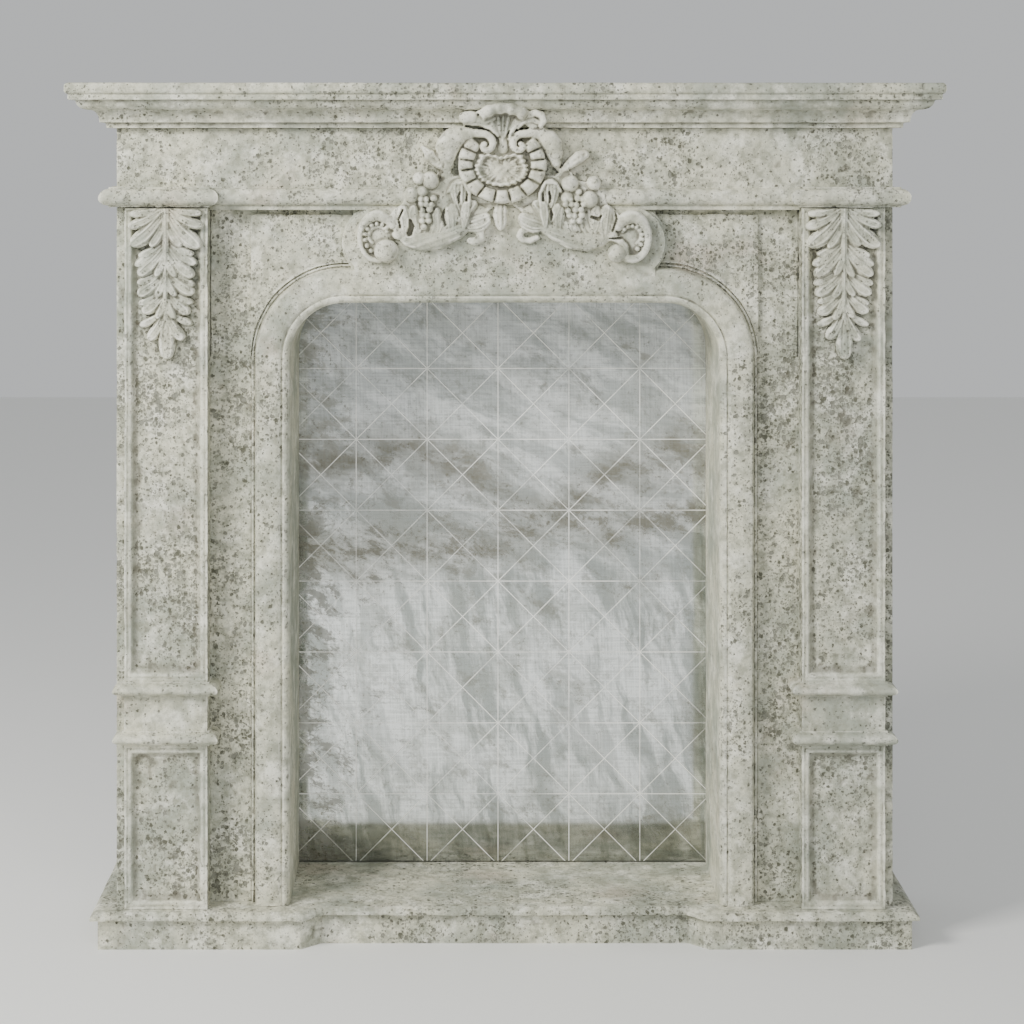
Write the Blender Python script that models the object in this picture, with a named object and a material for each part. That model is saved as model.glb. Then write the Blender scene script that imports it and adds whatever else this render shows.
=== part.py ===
"""A cast limestone fireplace mantel: arched niche, panelled pilasters, carved cartouche and leaf drops.

Units are metres, +Z is up and the room is on the -Y side. The origin is in the middle of the
underside of the whole mantel. The pieces are the hearth slab, two legs, the lintel with its carving,
the shelf, and the mirror that closes the back of the niche.
"""
import math

import bmesh
import bpy
import numpy as np

# Body: the plain box behind all the mouldings, measured to its side faces and its frieze face.
BODY_WIDTH = 1.343
BODY_DEPTH = 0.275

# Hearth slab.
SLAB_HEIGHT = 0.065
SLAB_LIP_HEIGHT = 0.014
SLAB_LIP_BEVEL = 0.007
SLAB_BEVEL_WIDTH = 0.010
SLAB_FRONT = 0.0455
SLAB_SIDE = 0.0395
SLAB_LIP_OVERHANG = 0.012
SLAB_RECESS_WIDTH = 0.692
SLAB_RECESS_DEPTH = 0.033
SLAB_RECESS_SPLAY = 0.034

# Heights of the stages of a leg, from the slab up, then of the lintel's courses.
PEDESTAL_HEIGHT = 0.2815
BAND_HEIGHT = 0.0265
DIE_HEIGHT = 0.058
SHAFT_HEIGHT = 0.8145
NECKING_HEIGHT = 0.0366
FRIEZE_HEIGHT = 0.1004

# Niche and the moulding round it.
OPENING_WIDTH = 0.744
OPENING_HEIGHT = 1.0413
OPENING_CORNER = 0.095
JAMB_SETBACK = 0.025
ARCH_BAND_WIDTH = 0.067
ARCH_BAND_RISE = 0.0296
SPANDREL_RISE = 0.007
SPANDREL_TOP_MARGIN = 0.012
GROUND_RISE = 0.0045
GROUND_CIRCLE_RADIUS = 0.062
GROUND_CIRCLE_X = 0.216
GROUND_CIRCLE_DROP = 0.060

# Pilasters.
PILASTER_WIDTH = 0.144
PILASTER_RISE = 0.022
SIDE_STRIP = 0.0165
FRAME_WIDTH = 0.0200
PANEL_DEPTH = 0.011
BAND_NOSE = 0.019

# Necking course.
NECKING_NOSE = 0.0445
NECKING_SIDE_NOSE = 0.0255
NECKING_INNER_NOSE = 0.020
NECKING_MIDDLE_NOSE = 0.014
NECKING_FILLET = 0.0034
LISTEL_HEIGHT = 0.0045

# Shelf.
SHELF_OVERHANG = 0.0785
SHELF_THICKNESS = 0.020
SHELF_EDGE_RADIUS = 0.0065
SHELF_FILLET_OVERHANG = 0.073
SHELF_FILLET_HEIGHT = 0.010
OVOLO_OVERHANG = 0.0615
OVOLO_FOOT = 0.044
OVOLO_HEIGHT = 0.0163
CAVETTO_OVERHANG = 0.0395
CAVETTO_FOOT = 0.026
CAVETTO_HEIGHT = 0.0215
SHELF_FOOT_OVERHANG = 0.016
SHELF_FOOT_HEIGHT = 0.0096

# Mirror at the back of the niche.
MIRROR_THICKNESS = 0.020
MIRROR_COVER = 0.026

# Carving. The cartouche is drawn 514 mm wide and the leaf drop 257 mm tall, then scaled to these.
CARTOUCHE_WIDTH = 0.514
CARTOUCHE_SUNK = 0.012
CARTOUCHE_EYE_BELOW_FRIEZE_TOP = 0.029
CREST_HALF_WIDTH = 0.088
CREST_HEIGHT = 0.0475
CREST_CLEARANCE = 0.0010
CARTOUCHE_STEP = 0.0030
CARTOUCHE_SHARE = 0.085
DROP_HEIGHT = 0.257
DROP_HALF_WIDTH = 0.066
DROP_SUNK = 0.016
DROP_STEP = 0.0030
DROP_SHARE = 0.13

# Clearance between pieces that rest on or beside each other.
GAP = 0.0003
# How far a joined shape reaches into the one that carries it, and a cutter beyond what it cuts.
BITE = 0.005
# Ledges fall by this much from their inner edge to their outer one.
FALL = 0.0004

# Levels and faces that follow from the sizes above.
HALF_BODY = BODY_WIDTH / 2
BACK_Y = (BODY_DEPTH + SHELF_OVERHANG) / 2
FACE_Y = BACK_Y - BODY_DEPTH
JAMB_Y = FACE_Y + JAMB_SETBACK
PILASTER_Y = FACE_Y - PILASTER_RISE
MIRROR_Y = BACK_Y - MIRROR_THICKNESS
PILASTER_OUT = HALF_BODY - SIDE_STRIP
PILASTER_IN = PILASTER_OUT - PILASTER_WIDTH
PILASTER_X = (PILASTER_OUT + PILASTER_IN) / 2
HALF_OPENING = OPENING_WIDTH / 2
LOWER_BAND_Z = SLAB_HEIGHT + PEDESTAL_HEIGHT
UPPER_BAND_Z = LOWER_BAND_Z + BAND_HEIGHT + DIE_HEIGHT
SHAFT_Z = UPPER_BAND_Z + BAND_HEIGHT
NECKING_Z = SHAFT_Z + SHAFT_HEIGHT
FRIEZE_Z = NECKING_Z + NECKING_HEIGHT
SHELF_Z = FRIEZE_Z + FRIEZE_HEIGHT
OPENING_TOP = SLAB_HEIGHT + OPENING_HEIGHT
SPRING_Z = OPENING_TOP - OPENING_CORNER
ARCH_X = HALF_OPENING - OPENING_CORNER

STONE_COLOUR = (0.60, 0.59, 0.52, 1.0)
MIRROR_COLOUR = (0.52, 0.57, 0.58, 1.0)
EMPTY = -1000.0


def finish(name, colour, roughness, metallic=0.0):
    """A plain material for one piece."""
    material = bpy.data.materials.new(name)
    material.use_nodes = True
    shader = material.node_tree.nodes["Principled BSDF"]
    shader.inputs["Base Color"].default_value = colour
    shader.inputs["Roughness"].default_value = roughness
    shader.inputs["Metallic"].default_value = metallic
    return material


def mesh_object(name, points, faces, material=None):
    """An object from points and faces, with its faces turned outwards."""
    mesh = bpy.data.meshes.new(name)
    mesh.from_pydata([tuple(p) for p in points], [], faces)
    shape = bmesh.new()
    shape.from_mesh(mesh)
    bmesh.ops.recalc_face_normals(shape, faces=shape.faces)
    shape.to_mesh(mesh)
    shape.free()
    made = bpy.data.objects.new(name, mesh)
    bpy.context.scene.collection.objects.link(made)
    if material:
        mesh.materials.append(material)
    return made


def loft(name, rings, material=None):
    """A closed solid through rings of points, each with as many points, capped at both ends."""
    rings = np.asarray(rings, dtype=float)
    count, around = rings.shape[:2]
    faces = []
    for ring in range(count - 1):
        for i in range(around):
            j = (i + 1) % around
            low = ring * around
            faces.append((low + i, low + j, low + around + j, low + around + i))
    faces.append(tuple(range(around)))
    faces.append(tuple((count - 1) * around + i for i in range(around)))
    return mesh_object(name, rings.reshape(-1, 3), faces, material)


def upright_prism(name, plan, low, high, material=None):
    """A plan outline raised from one level to another."""
    rings = [[(x, y, z) for x, y in plan] for z in (low, high)]
    return loft(name, rings, material)


def facing_prism(name, outline, front, back, material=None):
    """An outline seen from the front, carried from one depth to another."""
    rings = [[(x, y, z) for x, z in outline] for y in (front, back)]
    return loft(name, rings, material)


def block(name, low, high, material=None):
    """A box between two corners."""
    plan = [(low[0], low[1]), (high[0], low[1]), (high[0], high[1]), (low[0], high[1])]
    return upright_prism(name, plan, low[2], high[2], material)


def combine(target, other, operation):
    """Joins a shape to a piece, or cuts it away, and keeps it as a hidden guide."""
    change = target.modifiers.new(other.name, "BOOLEAN")
    change.operation = operation
    change.solver = "EXACT"
    change.object = other
    other.hide_render = True
    other.display_type = "WIRE"


def mitres(path):
    """For each point of a plan path, the step that moves both its sides outwards by one unit.

    Outwards is the right-hand side of the direction of travel.
    """
    path = np.asarray(path, dtype=float)
    along = np.diff(path, axis=0)
    along /= np.linalg.norm(along, axis=1)[:, None]
    out = np.stack([along[:, 1], -along[:, 0]], axis=1)
    before = np.vstack([out[:1], out])
    after = np.vstack([out, out[-1:]])
    both = before + after
    return both / (1.0 + np.sum(before * after, axis=1))[:, None]


def swept(name, path, section, material=None):
    """A moulding: a section of (outwards, up) points carried along a plan path with mitred corners."""
    steps = mitres(path)
    rings = []
    for (x, y), (step_x, step_y) in zip(path, steps):
        rings.append([(x + out * step_x, y + out * step_y, up) for out, up in section])
    return loft(name, rings, material)


def arc(centre, radius, start, end, count):
    """Points along an arc, with angles in degrees, ends included."""
    angles = np.radians(np.linspace(start, end, count))
    return [(centre[0] + radius * math.cos(a), centre[1] + radius * math.sin(a)) for a in angles]


def arch_line(offset, steps=9):
    """The niche's head seen from the front, moved outwards, from the left springing to the right one."""
    radius = OPENING_CORNER + offset
    left = arc((-ARCH_X, SPRING_Z), radius, 180, 90, steps)
    right = arc((ARCH_X, SPRING_Z), radius, 90, 0, steps)
    return left + right


def band_section():
    """The moulding round the niche: (outwards from the opening's edge, forwards from the jamb face).

    A roll stands at the opening's edge, then a quirk, a broad crowned band, an ovolo down to a
    second quirk, and a flat fillet on the outside.
    """
    roll = 0.012
    fillet = 0.005
    top = ARCH_BAND_RISE
    inner = [(roll - roll * math.cos(a), top - 0.014 + 0.011 * math.sin(a)) for a in np.radians([0, 30, 60, 90])]
    start = roll + 0.0015
    end = ARCH_BAND_WIDTH - fillet - 0.0075
    crown = [(start, top - 0.0055), (start + 0.0015, top - 0.0022)]
    crown += [(start + (end - start) * s, top - 0.0022 * (2 * s - 1) ** 2) for s in (0.3, 0.5, 0.7)]
    ovolo = [(end + 0.0065 * math.sin(a), top - 0.0022 - 0.0175 * (1 - math.cos(a))) for a in np.radians([0, 35, 65, 90])]
    outer = [
        (ARCH_BAND_WIDTH - fillet, 0.0045),
        (ARCH_BAND_WIDTH - fillet + 0.0005, 0.008),
        (ARCH_BAND_WIDTH, 0.008),
    ]
    return inner + crown + ovolo + outer


def roll_section(height, nose, fillet, base, embed):
    """A band's section, from the bottom up: a fillet, a bold roll with its nose low, and a fillet."""
    roll = height - 2 * fillet
    angles = np.radians(np.linspace(-90, 90, 9))
    middle = fillet + roll * 0.45
    points = [(-embed, 0.0), (base, 0.0), (base, fillet)]
    for a in angles:
        half = roll * (0.45 if a < 0 else 0.55)
        points.append((base + (nose - base) * math.cos(a) + 0.0002, middle + half * math.sin(a)))
    points += [(base, height - fillet), (base, height), (-embed, height)]
    return points


def grid_relief(name, xs, zs, height, front, back):
    """A closed block whose face is a height over a grid. zs holds one row of levels for each column."""
    rows, columns = height.shape
    face = np.stack([xs, front - height, zs], axis=-1).reshape(-1, 3)
    index = np.arange(rows * columns).reshape(rows, columns)
    rim = np.concatenate([index[0, :-1], index[:-1, -1], index[-1, :0:-1], index[:0:-1, 0]])
    behind = face[rim].copy()
    behind[:, 1] = back
    points = np.vstack([face, behind])
    quads = np.stack([index[:-1, :-1], index[:-1, 1:], index[1:, 1:], index[1:, :-1]], axis=-1)
    faces = [tuple(q) for q in quads.reshape(-1, 4).tolist()]
    first = len(face)
    count = len(rim)
    rim = rim.tolist()
    for i in range(count):
        j = (i + 1) % count
        faces.append((rim[i], rim[j], first + j, first + i))
    faces.append(tuple(range(first, first + count)))
    return mesh_object(name, points, faces)


def thinned(relief, share):
    """Drops faces from the flatter parts of a relief, down to a share of them."""
    fewer = relief.modifiers.new("fewer_faces", "DECIMATE")
    fewer.ratio = share


# Carving tools. Each gives a height in millimetres over arrays of places, also in millimetres.

def lump(x, z, at, half, turn=0.0, base=0.0, rise=10.0, power=2.0):
    """A rounded lump of the given half sizes, turned in degrees. A higher power makes it squarer."""
    c, s = math.cos(math.radians(turn)), math.sin(math.radians(turn))
    along = np.abs((x - at[0]) * c + (z - at[1]) * s) / half[0]
    across = np.abs(-(x - at[0]) * s + (z - at[1]) * c) / half[1]
    inside = 1.0 - along ** power - across ** power
    return np.where(inside > 0, base + rise * np.maximum(inside, 0) ** (1 / power), EMPTY)


def ribbon(x, z, route, halves, bases, rise=0.7, vein=0.0):
    """A rounded ribbon along a route, whose half width and base change from point to point."""
    best = np.full_like(x, EMPTY)
    for i in range(len(route) - 1):
        (x0, z0), (x1, z1) = route[i], route[i + 1]
        span = (x1 - x0) ** 2 + (z1 - z0) ** 2
        t = np.clip(((x - x0) * (x1 - x0) + (z - z0) * (z1 - z0)) / span, 0, 1)
        away = (x - x0 - t * (x1 - x0)) ** 2 + (z - z0 - t * (z1 - z0)) ** 2
        half = halves[i] + (halves[i + 1] - halves[i]) * t
        base = bases[i] + (bases[i + 1] - bases[i]) * t
        inside = 1.0 - away / half ** 2
        crown = base + rise * half * np.sqrt(np.maximum(inside, 0)) - vein * np.exp(-away / (0.22 * half) ** 2)
        best = np.maximum(best, np.where(inside > 0, crown, EMPTY))
    return best


def leaf(x, z, root, tip, width, lobes=3, base=4.0, rise=10.0, bend=0.0):
    """An acanthus leaf from root to tip: scalloped edge, sunk midrib, and veins that fan out to the lobes."""
    run = math.hypot(tip[0] - root[0], tip[1] - root[1])
    ux, uz = (tip[0] - root[0]) / run, (tip[1] - root[1]) / run
    s = ((x - root[0]) * ux + (z - root[1]) * uz) / run
    t = -(x - root[0]) * uz + (z - root[1]) * ux
    t = t - bend * run * np.sin(np.clip(s, 0, 1) * math.pi)
    body = np.sin(np.clip(s, 0, 1) ** 0.8 * math.pi) ** 0.6
    edge = width * np.maximum(body, 0.02) * (0.84 + 0.16 * np.cos(2 * math.pi * (lobes * s - 0.15)))
    across = np.abs(t) / edge
    inside = (s > 0) & (s < 1) & (across < 1)
    crown = np.sqrt(np.maximum(1 - across ** 2, 0)) * (0.55 + 0.45 * np.sin(np.clip(s, 0, 1) * math.pi))
    veins = 0.09 * np.cos(2 * math.pi * (lobes * s - 0.9 * across))
    midrib = -0.16 * np.exp(-((across / 0.14) ** 2))
    return np.where(inside, base + rise * (crown + veins + midrib), EMPTY)


def turns(centre, side, start, end, near, far, count, tall=1.0):
    """A route that winds about a centre, with angles in degrees as seen on the +X side."""
    route = []
    for i in range(count):
        share = i / (count - 1)
        angle = math.radians(start + (end - start) * share)
        radius = near + (far - near) * share
        route.append((centre[0] + side * radius * math.cos(angle), centre[1] + tall * radius * math.sin(angle)))
    return route


def mirrored(side, *places):
    """The same places on the side asked for, from their measures on the +X side."""
    return [(side * px, pz) for px, pz in places]


def laid_over(x):
    """A height field that starts empty, and a function that lays shapes over it."""
    high = np.full_like(x, EMPTY)

    def lay(*shapes):
        for shape in shapes:
            np.maximum(high, shape, out=high)

    return high, lay


def crest(x, z, lay):
    """A fan of ribs that rises from a stem and rolls forward into a scalloped lip, with a curl each side."""
    radius = np.hypot(x + 3, z + 4)
    turn = np.degrees(np.arctan2(x + 3, z + 4))
    rib = np.cos(np.radians(turn * 360 / 12.5))
    reach = 79.5 - 0.0016 * turn ** 2
    spread = 9.0 + 30.0 * np.clip((radius - 14) / 48, 0, 1) ** 0.8
    outward = np.clip(radius / 60, 0, 1)
    web = 24 + 23 * outward ** 1.6 + 2.2 * rib * outward
    inside = (np.abs(turn) < spread) & (radius < reach - 8) & (z > -4)
    lay(np.where(inside, web, EMPTY))
    across = (radius - (reach - 11.5)) / (11.5 + 0.9 * rib)
    ends = 1 - (np.abs(turn) / 37.0) ** 4
    roll = np.sqrt(np.maximum(1 - across ** 2, 0)) * np.sqrt(np.maximum(ends, 0))
    lay(np.where(roll > 0, 46 + (23 + 1.2 * rib) * roll, EMPTY))
    lay(ribbon(x, z, [(-3, 28), (-3, 4), (-3, -16)], [9, 5, 13], [20, 24, 26], 0.6))
    for side, curl_x, curl_z, size in ((-1, -64, 47, 15), (1, 54, 43, 14)):
        lay(ribbon(
            x, z, [(side * 14, 24), (side * 30, 38), (curl_x * 0.85, curl_z - 7), (curl_x, curl_z)],
            [4, 7, 9, size * 0.8], [26, 32, 36, 34], 0.9,
        ))


def whorl(x, z, lay, side):
    """A small volute beside the stem, whose arm sweeps out, swells, and falls to a point."""
    if side < 0:
        eye = (-33.5, -1)
        arm = ((52, 21, 7), (73, 18, 16), (96, 4, 22), (101, -17, 18), (99, -33, 12), (97, -45, 3))
    else:
        eye = (27, -1)
        arm = ((45, 21, 7), (64, 19, 13), (80, 5, 19), (86, -14, 15), (89, -30, 10), (93, -44, 3))
    route = turns(eye, side, 450, 90, 3, 20, 22) + mirrored(side, *[place[:2] for place in arm])
    halves = list(np.linspace(2.6, 5.4, 22)) + [place[2] for place in arm]
    bases = list(np.linspace(36, 30, 22)) + [26, 20, 15, 13, 11, 8]
    lay(ribbon(x, z, route, halves, bases, 0.85))


def shell(x, z, lay):
    """A hollow shell with a toothed rim, ringed by pillows on its sides and below."""
    lay(lump(x, z, (-4.5, -34), (72, 62), 0, 4, 20, 3.0))
    for angle in (37, 17, 0, -19, -43, -67, -90, -113, -137, -161, 180, 163, 143):
        at = (-4.5 + 63 * math.cos(math.radians(angle)), -34 + 55 * math.sin(math.radians(angle)))
        size = 12.5 - 2.0 * math.sin(math.radians(angle))
        lay(lump(x, z, at, (size, 0.86 * size if abs(math.sin(math.radians(angle))) < 0.5 else 13.5), angle, 22, 16, 3.0))
    angle = np.arctan2((x + 6.5) / 47, (z + 42) / 30)
    scallop = np.cos(25 * angle)
    around = np.hypot((x + 6.5) / 47, (z + 42) / 30) / (1 + 0.03 * scallop)
    rim = 12 * np.exp(-(((around - 0.86) / 0.12) ** 2))
    dish = 24 + rim + 1.4 * scallop * np.clip(around * 1.6 - 0.6, 0, 1)
    lay(np.where(around < 1, dish, EMPTY))


def wing(x, z, lay, side):
    """One half of the cartouche's foot: leaves and fruit on a scroll that ends in a beaded volute."""
    # Mass behind the carving, so it reads as one body.
    spine = mirrored(side, (40, -82), (85, -98), (128, -118), (170, -138))
    lay(ribbon(x, z, spine, [34, 46, 58, 32], [7, 7, 6, 5], 0.10))
    # The scroll and the sheath leaves that stand on it.
    scroll = mirrored(side, (30, -110), (57, -132), (85, -153), (112, -165), (142, -168), (170, -165), (188, -152))
    lay(ribbon(x, z, scroll, [7, 10, 12, 13, 13, 12, 9], [10, 11, 12, 12, 12, 10, 8], 0.9))
    sheath = (
        (62, -138, 58, -98, 12, 14), (84, -154, 92, -110, 12, 14), (118, -168, 112, -124, 12, 12),
        (150, -166, 156, -116, 13, 11), (176, -162, 174, -106, 14, 8),
    )
    for root_x, root_z, tip_x, tip_z, width, base in sheath:
        lay(leaf(x, z, (side * root_x, root_z), (side * tip_x, tip_z), width, 2, base, 12, side * 0.04))
    lay(leaf(x, z, (side * 148, -122), (side * 166, -72), 11, 2, 8, 14))
    # The leaf that falls beside the ring, the outer bud, and its twig.
    lay(leaf(x, z, (side * 76, -54), (side * 84, -122), 19, 4, 12, 17, side * -0.04))
    bud = mirrored(side, (96, -46), (112, -34), (128, -18), (140, -5))
    lay(ribbon(x, z, bud, [4, 9, 10, 4], [8, 8, 7, 6], 1.1, 2.5))
    lay(ribbon(x, z, mirrored(side, (84, -60), (98, -48), (108, -44)), [6, 5, 6], [14, 14, 12], 0.9))
    # End volute: a broad rolled rim round a beaded channel, ending in a ball.
    centre = (side * 219, -158)
    rim = turns(centre, side, 158, -115, 27, 27, 24, 1.28)
    lay(ribbon(x, z, rim, [7] * 3 + [10.5] * 21, [6] * 3 + [11] * 21, 1.25))
    lay(lump(x, z, centre, (22, 29), 0, 5, 5))
    for i in range(9):
        angle = math.radians(120 - i * 25)
        at = (centre[0] + side * 16.5 * math.cos(angle), centre[1] + 22 * math.sin(angle))
        lay(lump(x, z, at, (4.2, 4.2), 0, 11, 8))
    if side < 0:
        lay(lump(x, z, (-205, -182), (21, 22), 0, 8, 23))
    else:
        lay(lump(x, z, (197, -189), (17, 15), 0, 8, 18))
        lay(ribbon(x, z, [(184, -160), (205, -172), (203, -186)], [8, 8, 9], [10, 12, 12], 0.9))
    # Bunch of grapes.
    bunch_x = -134 if side < 0 else 119
    rows = (3, 3, 2, 2, 2, 1) if side < 0 else (4, 4, 3, 3, 2)
    for row, berries in enumerate(rows):
        for i in range(berries):
            at = (bunch_x + (i - (berries - 1) / 2) * 10.2 + side * row * 0.8, -93 - row * 10.0)
            lay(lump(x, z, at, (5.8, 5.8), 0, 18 - row * 0.6, 8))
    # Under the ring: a spray of leaf and the curl at its foot.
    lay(leaf(x, z, (side * 60, -100), (side * 20, -128), 15, 3, 13, 13))
    lay(leaf(x, z, (side * 50, -96), (side * 30, -140), 12, 2, 12, 12))
    foot = mirrored(side, (58, -128), (46, -140), (42, -152), (50, -160))
    lay(ribbon(x, z, foot, [5, 6, 7, 9], [10, 10, 9, 8], 0.9))


def cartouche(x, z):
    """How far the carving stands in front of the frieze face, in millimetres.

    x runs to the right from the mantel's middle line and z up from the eyes of the two small volutes.
    """
    high, lay = laid_over(x)
    for side in (-1, 1):
        wing(x, z, lay, side)
    shell(x, z, lay)
    crest(x, z, lay)
    for side in (-1, 1):
        whorl(x, z, lay, side)
    # Fruit: three on the left, four rounder ones on the right.
    fruits = (
        (-147, -58, 12, 17), (-128, -61, 16, 20), (-160, -86, 13, 16), (-142, -80, 11, 15),
        (111, -62, 15, 19), (152, -66, 14, 17), (107, -87, 13, 17), (146, -93, 15, 19),
    )
    for fruit_x, fruit_z, half, rise in fruits:
        lay(lump(x, z, (fruit_x, fruit_z), (half, half), 0, 12, rise))
    # A hanging bud in the middle of the foot.
    lay(ribbon(x, z, [(-7, -108), (-7, -124), (-7, -142)], [12, 13, 5], [12, 12, 8], 1.0, 2.0))
    return high


def leaf_drop(x, z):
    """How far the hanging leaf stands in front of the pilaster, in millimetres, from its top down."""
    high, lay = laid_over(x)
    # Mass behind the lobes, so they read as one leaf, and a double rib between flutes down its middle.
    lay(ribbon(x, z, [(0, -4), (0, -60), (0, -200)], [36, 34, 20], [-6, -7, -8], 0.12))
    width = 18 - 6 * np.clip(-z / 210, 0, 1)
    inside = (np.abs(x) < width) & (z < 0) & (z > -215)
    flutes = 1.5 * np.cos(2 * math.pi * (np.abs(x) - 4.5) / 9.0)
    stem = 7.0 * np.sqrt(np.maximum(1 - (x / width) ** 2, 0)) + flutes
    lay(np.where(inside, stem, EMPTY))
    lay(ribbon(x, z, [(0, -196), (0, -222), (0, -242)], [13, 18, 15], [-6, -5, -6], 0.65, 1.5))
    # Lobes of each tier on one side: root, tip, half width at the tip, height of the tip's edge.
    tiers = (
        (12, -176, 37, -186, 9, -5), (12, -182, 27, -206, 12, -2),
        (14, -142, 32, -161, 13, -4), (14, -104, 38, -128, 14, -4),
        (18, -68, 39, -94, 14, -2), (16, -54, 32, -70, 9, -2), (12, -60, 18, -96, 9, 0),
        (16, -22, 24, -50, 9, 2), (16, -14, 48, -49, 17, 0), (10, -6, 52, -19, 12, -2),
    )
    for side in (-1, 1):
        for root_x, root_z, tip_x, tip_z, half, rise in tiers:
            middle = (0.45 * root_x + 0.55 * tip_x, 0.5 * (root_z + tip_z))
            route = mirrored(side, (root_x, root_z), middle, (tip_x, tip_z))
            lay(ribbon(x, z, route, [0.55 * half, 0.9 * half, half], [rise - 3, rise - 1, rise], 0.65, 0.16 * half))
    return high


def hearth_slab():
    """One stone: a base block under a bevelled lip, both set back in the middle with splayed ends."""
    half = HALF_BODY + SLAB_SIDE
    front = FACE_Y - SLAB_FRONT
    near = SLAB_RECESS_WIDTH / 2
    far = near - SLAB_RECESS_SPLAY
    edge = [
        (-half, BACK_Y), (-half, front), (-near, front), (-far, front + SLAB_RECESS_DEPTH),
        (far, front + SLAB_RECESS_DEPTH), (near, front), (half, front), (half, BACK_Y),
    ]
    steps = mitres(edge)
    lip_top = SLAB_HEIGHT - SLAB_LIP_BEVEL
    levels = (
        (-SLAB_LIP_OVERHANG, 0.0),
        (-SLAB_LIP_OVERHANG, SLAB_HEIGHT - SLAB_LIP_HEIGHT),
        (0.0, SLAB_HEIGHT - SLAB_LIP_HEIGHT + FALL),
        (0.0, lip_top),
        (-SLAB_BEVEL_WIDTH, SLAB_HEIGHT),
    )
    rings = []
    for out, level in levels:
        rings.append([(x + out * sx, y + out * sy, level) for (x, y), (sx, sy) in zip(edge, steps)])
    return loft("hearth_slab", rings, finish("hearth_stone", STONE_COLOUR, 0.85))


def panel_cutter(name, x, low, high):
    """Cuts a framed panel: a fillet stays at the edge, then a quirk, a bead and a cove down to the field."""
    steps = (
        (0.0045, -0.010), (0.0045, 0.0016), (0.0065, 0.0008), (0.0090, 0.0003), (0.0115, 0.0008),
        (0.0135, 0.0026), (0.0140, 0.0052), (0.0170, 0.0080), (FRAME_WIDTH, PANEL_DEPTH),
    )
    half = PILASTER_WIDTH / 2
    rings = []
    for margin, depth in steps:
        left, right = x - half + margin, x + half - margin
        bottom, top = low + margin, high - margin
        y = PILASTER_Y + depth
        rings.append([(left, y, bottom), (right, y, bottom), (right, y, top), (left, y, top)])
    return loft(name, rings)


def pilaster_band(name, side, low):
    """A rolled band round the front and both sides of a pilaster."""
    front = PILASTER_Y - 0.0005
    outer = PILASTER_OUT - 0.0005
    inner = PILASTER_IN + 0.0005
    if side > 0:
        path = [(inner, JAMB_Y + BITE), (inner, front), (outer, front), (outer, FACE_Y + BITE)]
    else:
        path = [(-outer, FACE_Y + BITE), (-outer, front), (-inner, front), (-inner, JAMB_Y + BITE)]
    section = [(out, low + up) for out, up in roll_section(BAND_HEIGHT, BAND_NOSE, 0.003, 0.004, 0.012)]
    return swept(name, path, section)


def leg(side):
    """One leg: panelled pilaster, side strip, jamb strip, and half the straight of the niche's moulding."""
    name = "left_leg" if side < 0 else "right_leg"
    foot = SLAB_HEIGHT + GAP
    head = NECKING_Z
    back = BACK_Y
    shaft_plan = [
        (PILASTER_IN, back), (PILASTER_IN, PILASTER_Y), (PILASTER_OUT, PILASTER_Y),
        (PILASTER_OUT, FACE_Y), (HALF_BODY, FACE_Y), (HALF_BODY, back),
    ]
    body = upright_prism(name, [(side * x, y) for x, y in shaft_plan], foot, head, finish(name, STONE_COLOUR, 0.85))

    band = [(HALF_OPENING + out, JAMB_Y - up) for out, up in band_section()]
    rebate = HALF_OPENING + MIRROR_COVER + GAP
    jamb_plan = band + [
        (HALF_OPENING + ARCH_BAND_WIDTH, JAMB_Y), (PILASTER_IN + BITE, JAMB_Y),
        (PILASTER_IN + BITE, back - BITE), (PILASTER_IN, back), (rebate, back),
        (rebate, MIRROR_Y - GAP), (HALF_OPENING, MIRROR_Y - GAP),
    ]
    jamb = upright_prism(name + "_jamb", [(side * x, y) for x, y in jamb_plan], foot, SPRING_Z)
    combine(body, jamb, "UNION")
    for stage, low in (("lower", LOWER_BAND_Z), ("upper", UPPER_BAND_Z)):
        combine(body, pilaster_band(f"{name}_{stage}_band", side, low), "UNION")
    combine(body, panel_cutter(name + "_pedestal_panel", side * PILASTER_X, foot, LOWER_BAND_Z), "DIFFERENCE")
    combine(body, panel_cutter(name + "_shaft_panel", side * PILASTER_X, SHAFT_Z, NECKING_Z), "DIFFERENCE")

    scale = DROP_HEIGHT / 0.257 / 1000
    columns = np.arange(-DROP_HALF_WIDTH, DROP_HALF_WIDTH + 0.0001, DROP_STEP)
    levels = np.arange(-DROP_HEIGHT - 0.002, -0.0015, DROP_STEP)
    xs, zs = np.meshgrid(columns, levels)
    high = leaf_drop(side * xs / scale, zs / scale) * scale
    high = np.maximum(high, -DROP_SUNK)
    relief = grid_relief(name + "_leaf_drop", side * PILASTER_X + xs, NECKING_Z + zs, high, PILASTER_Y, PILASTER_Y + 0.020)
    thinned(relief, DROP_SHARE)
    combine(body, relief, "UNION")
    return body


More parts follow.
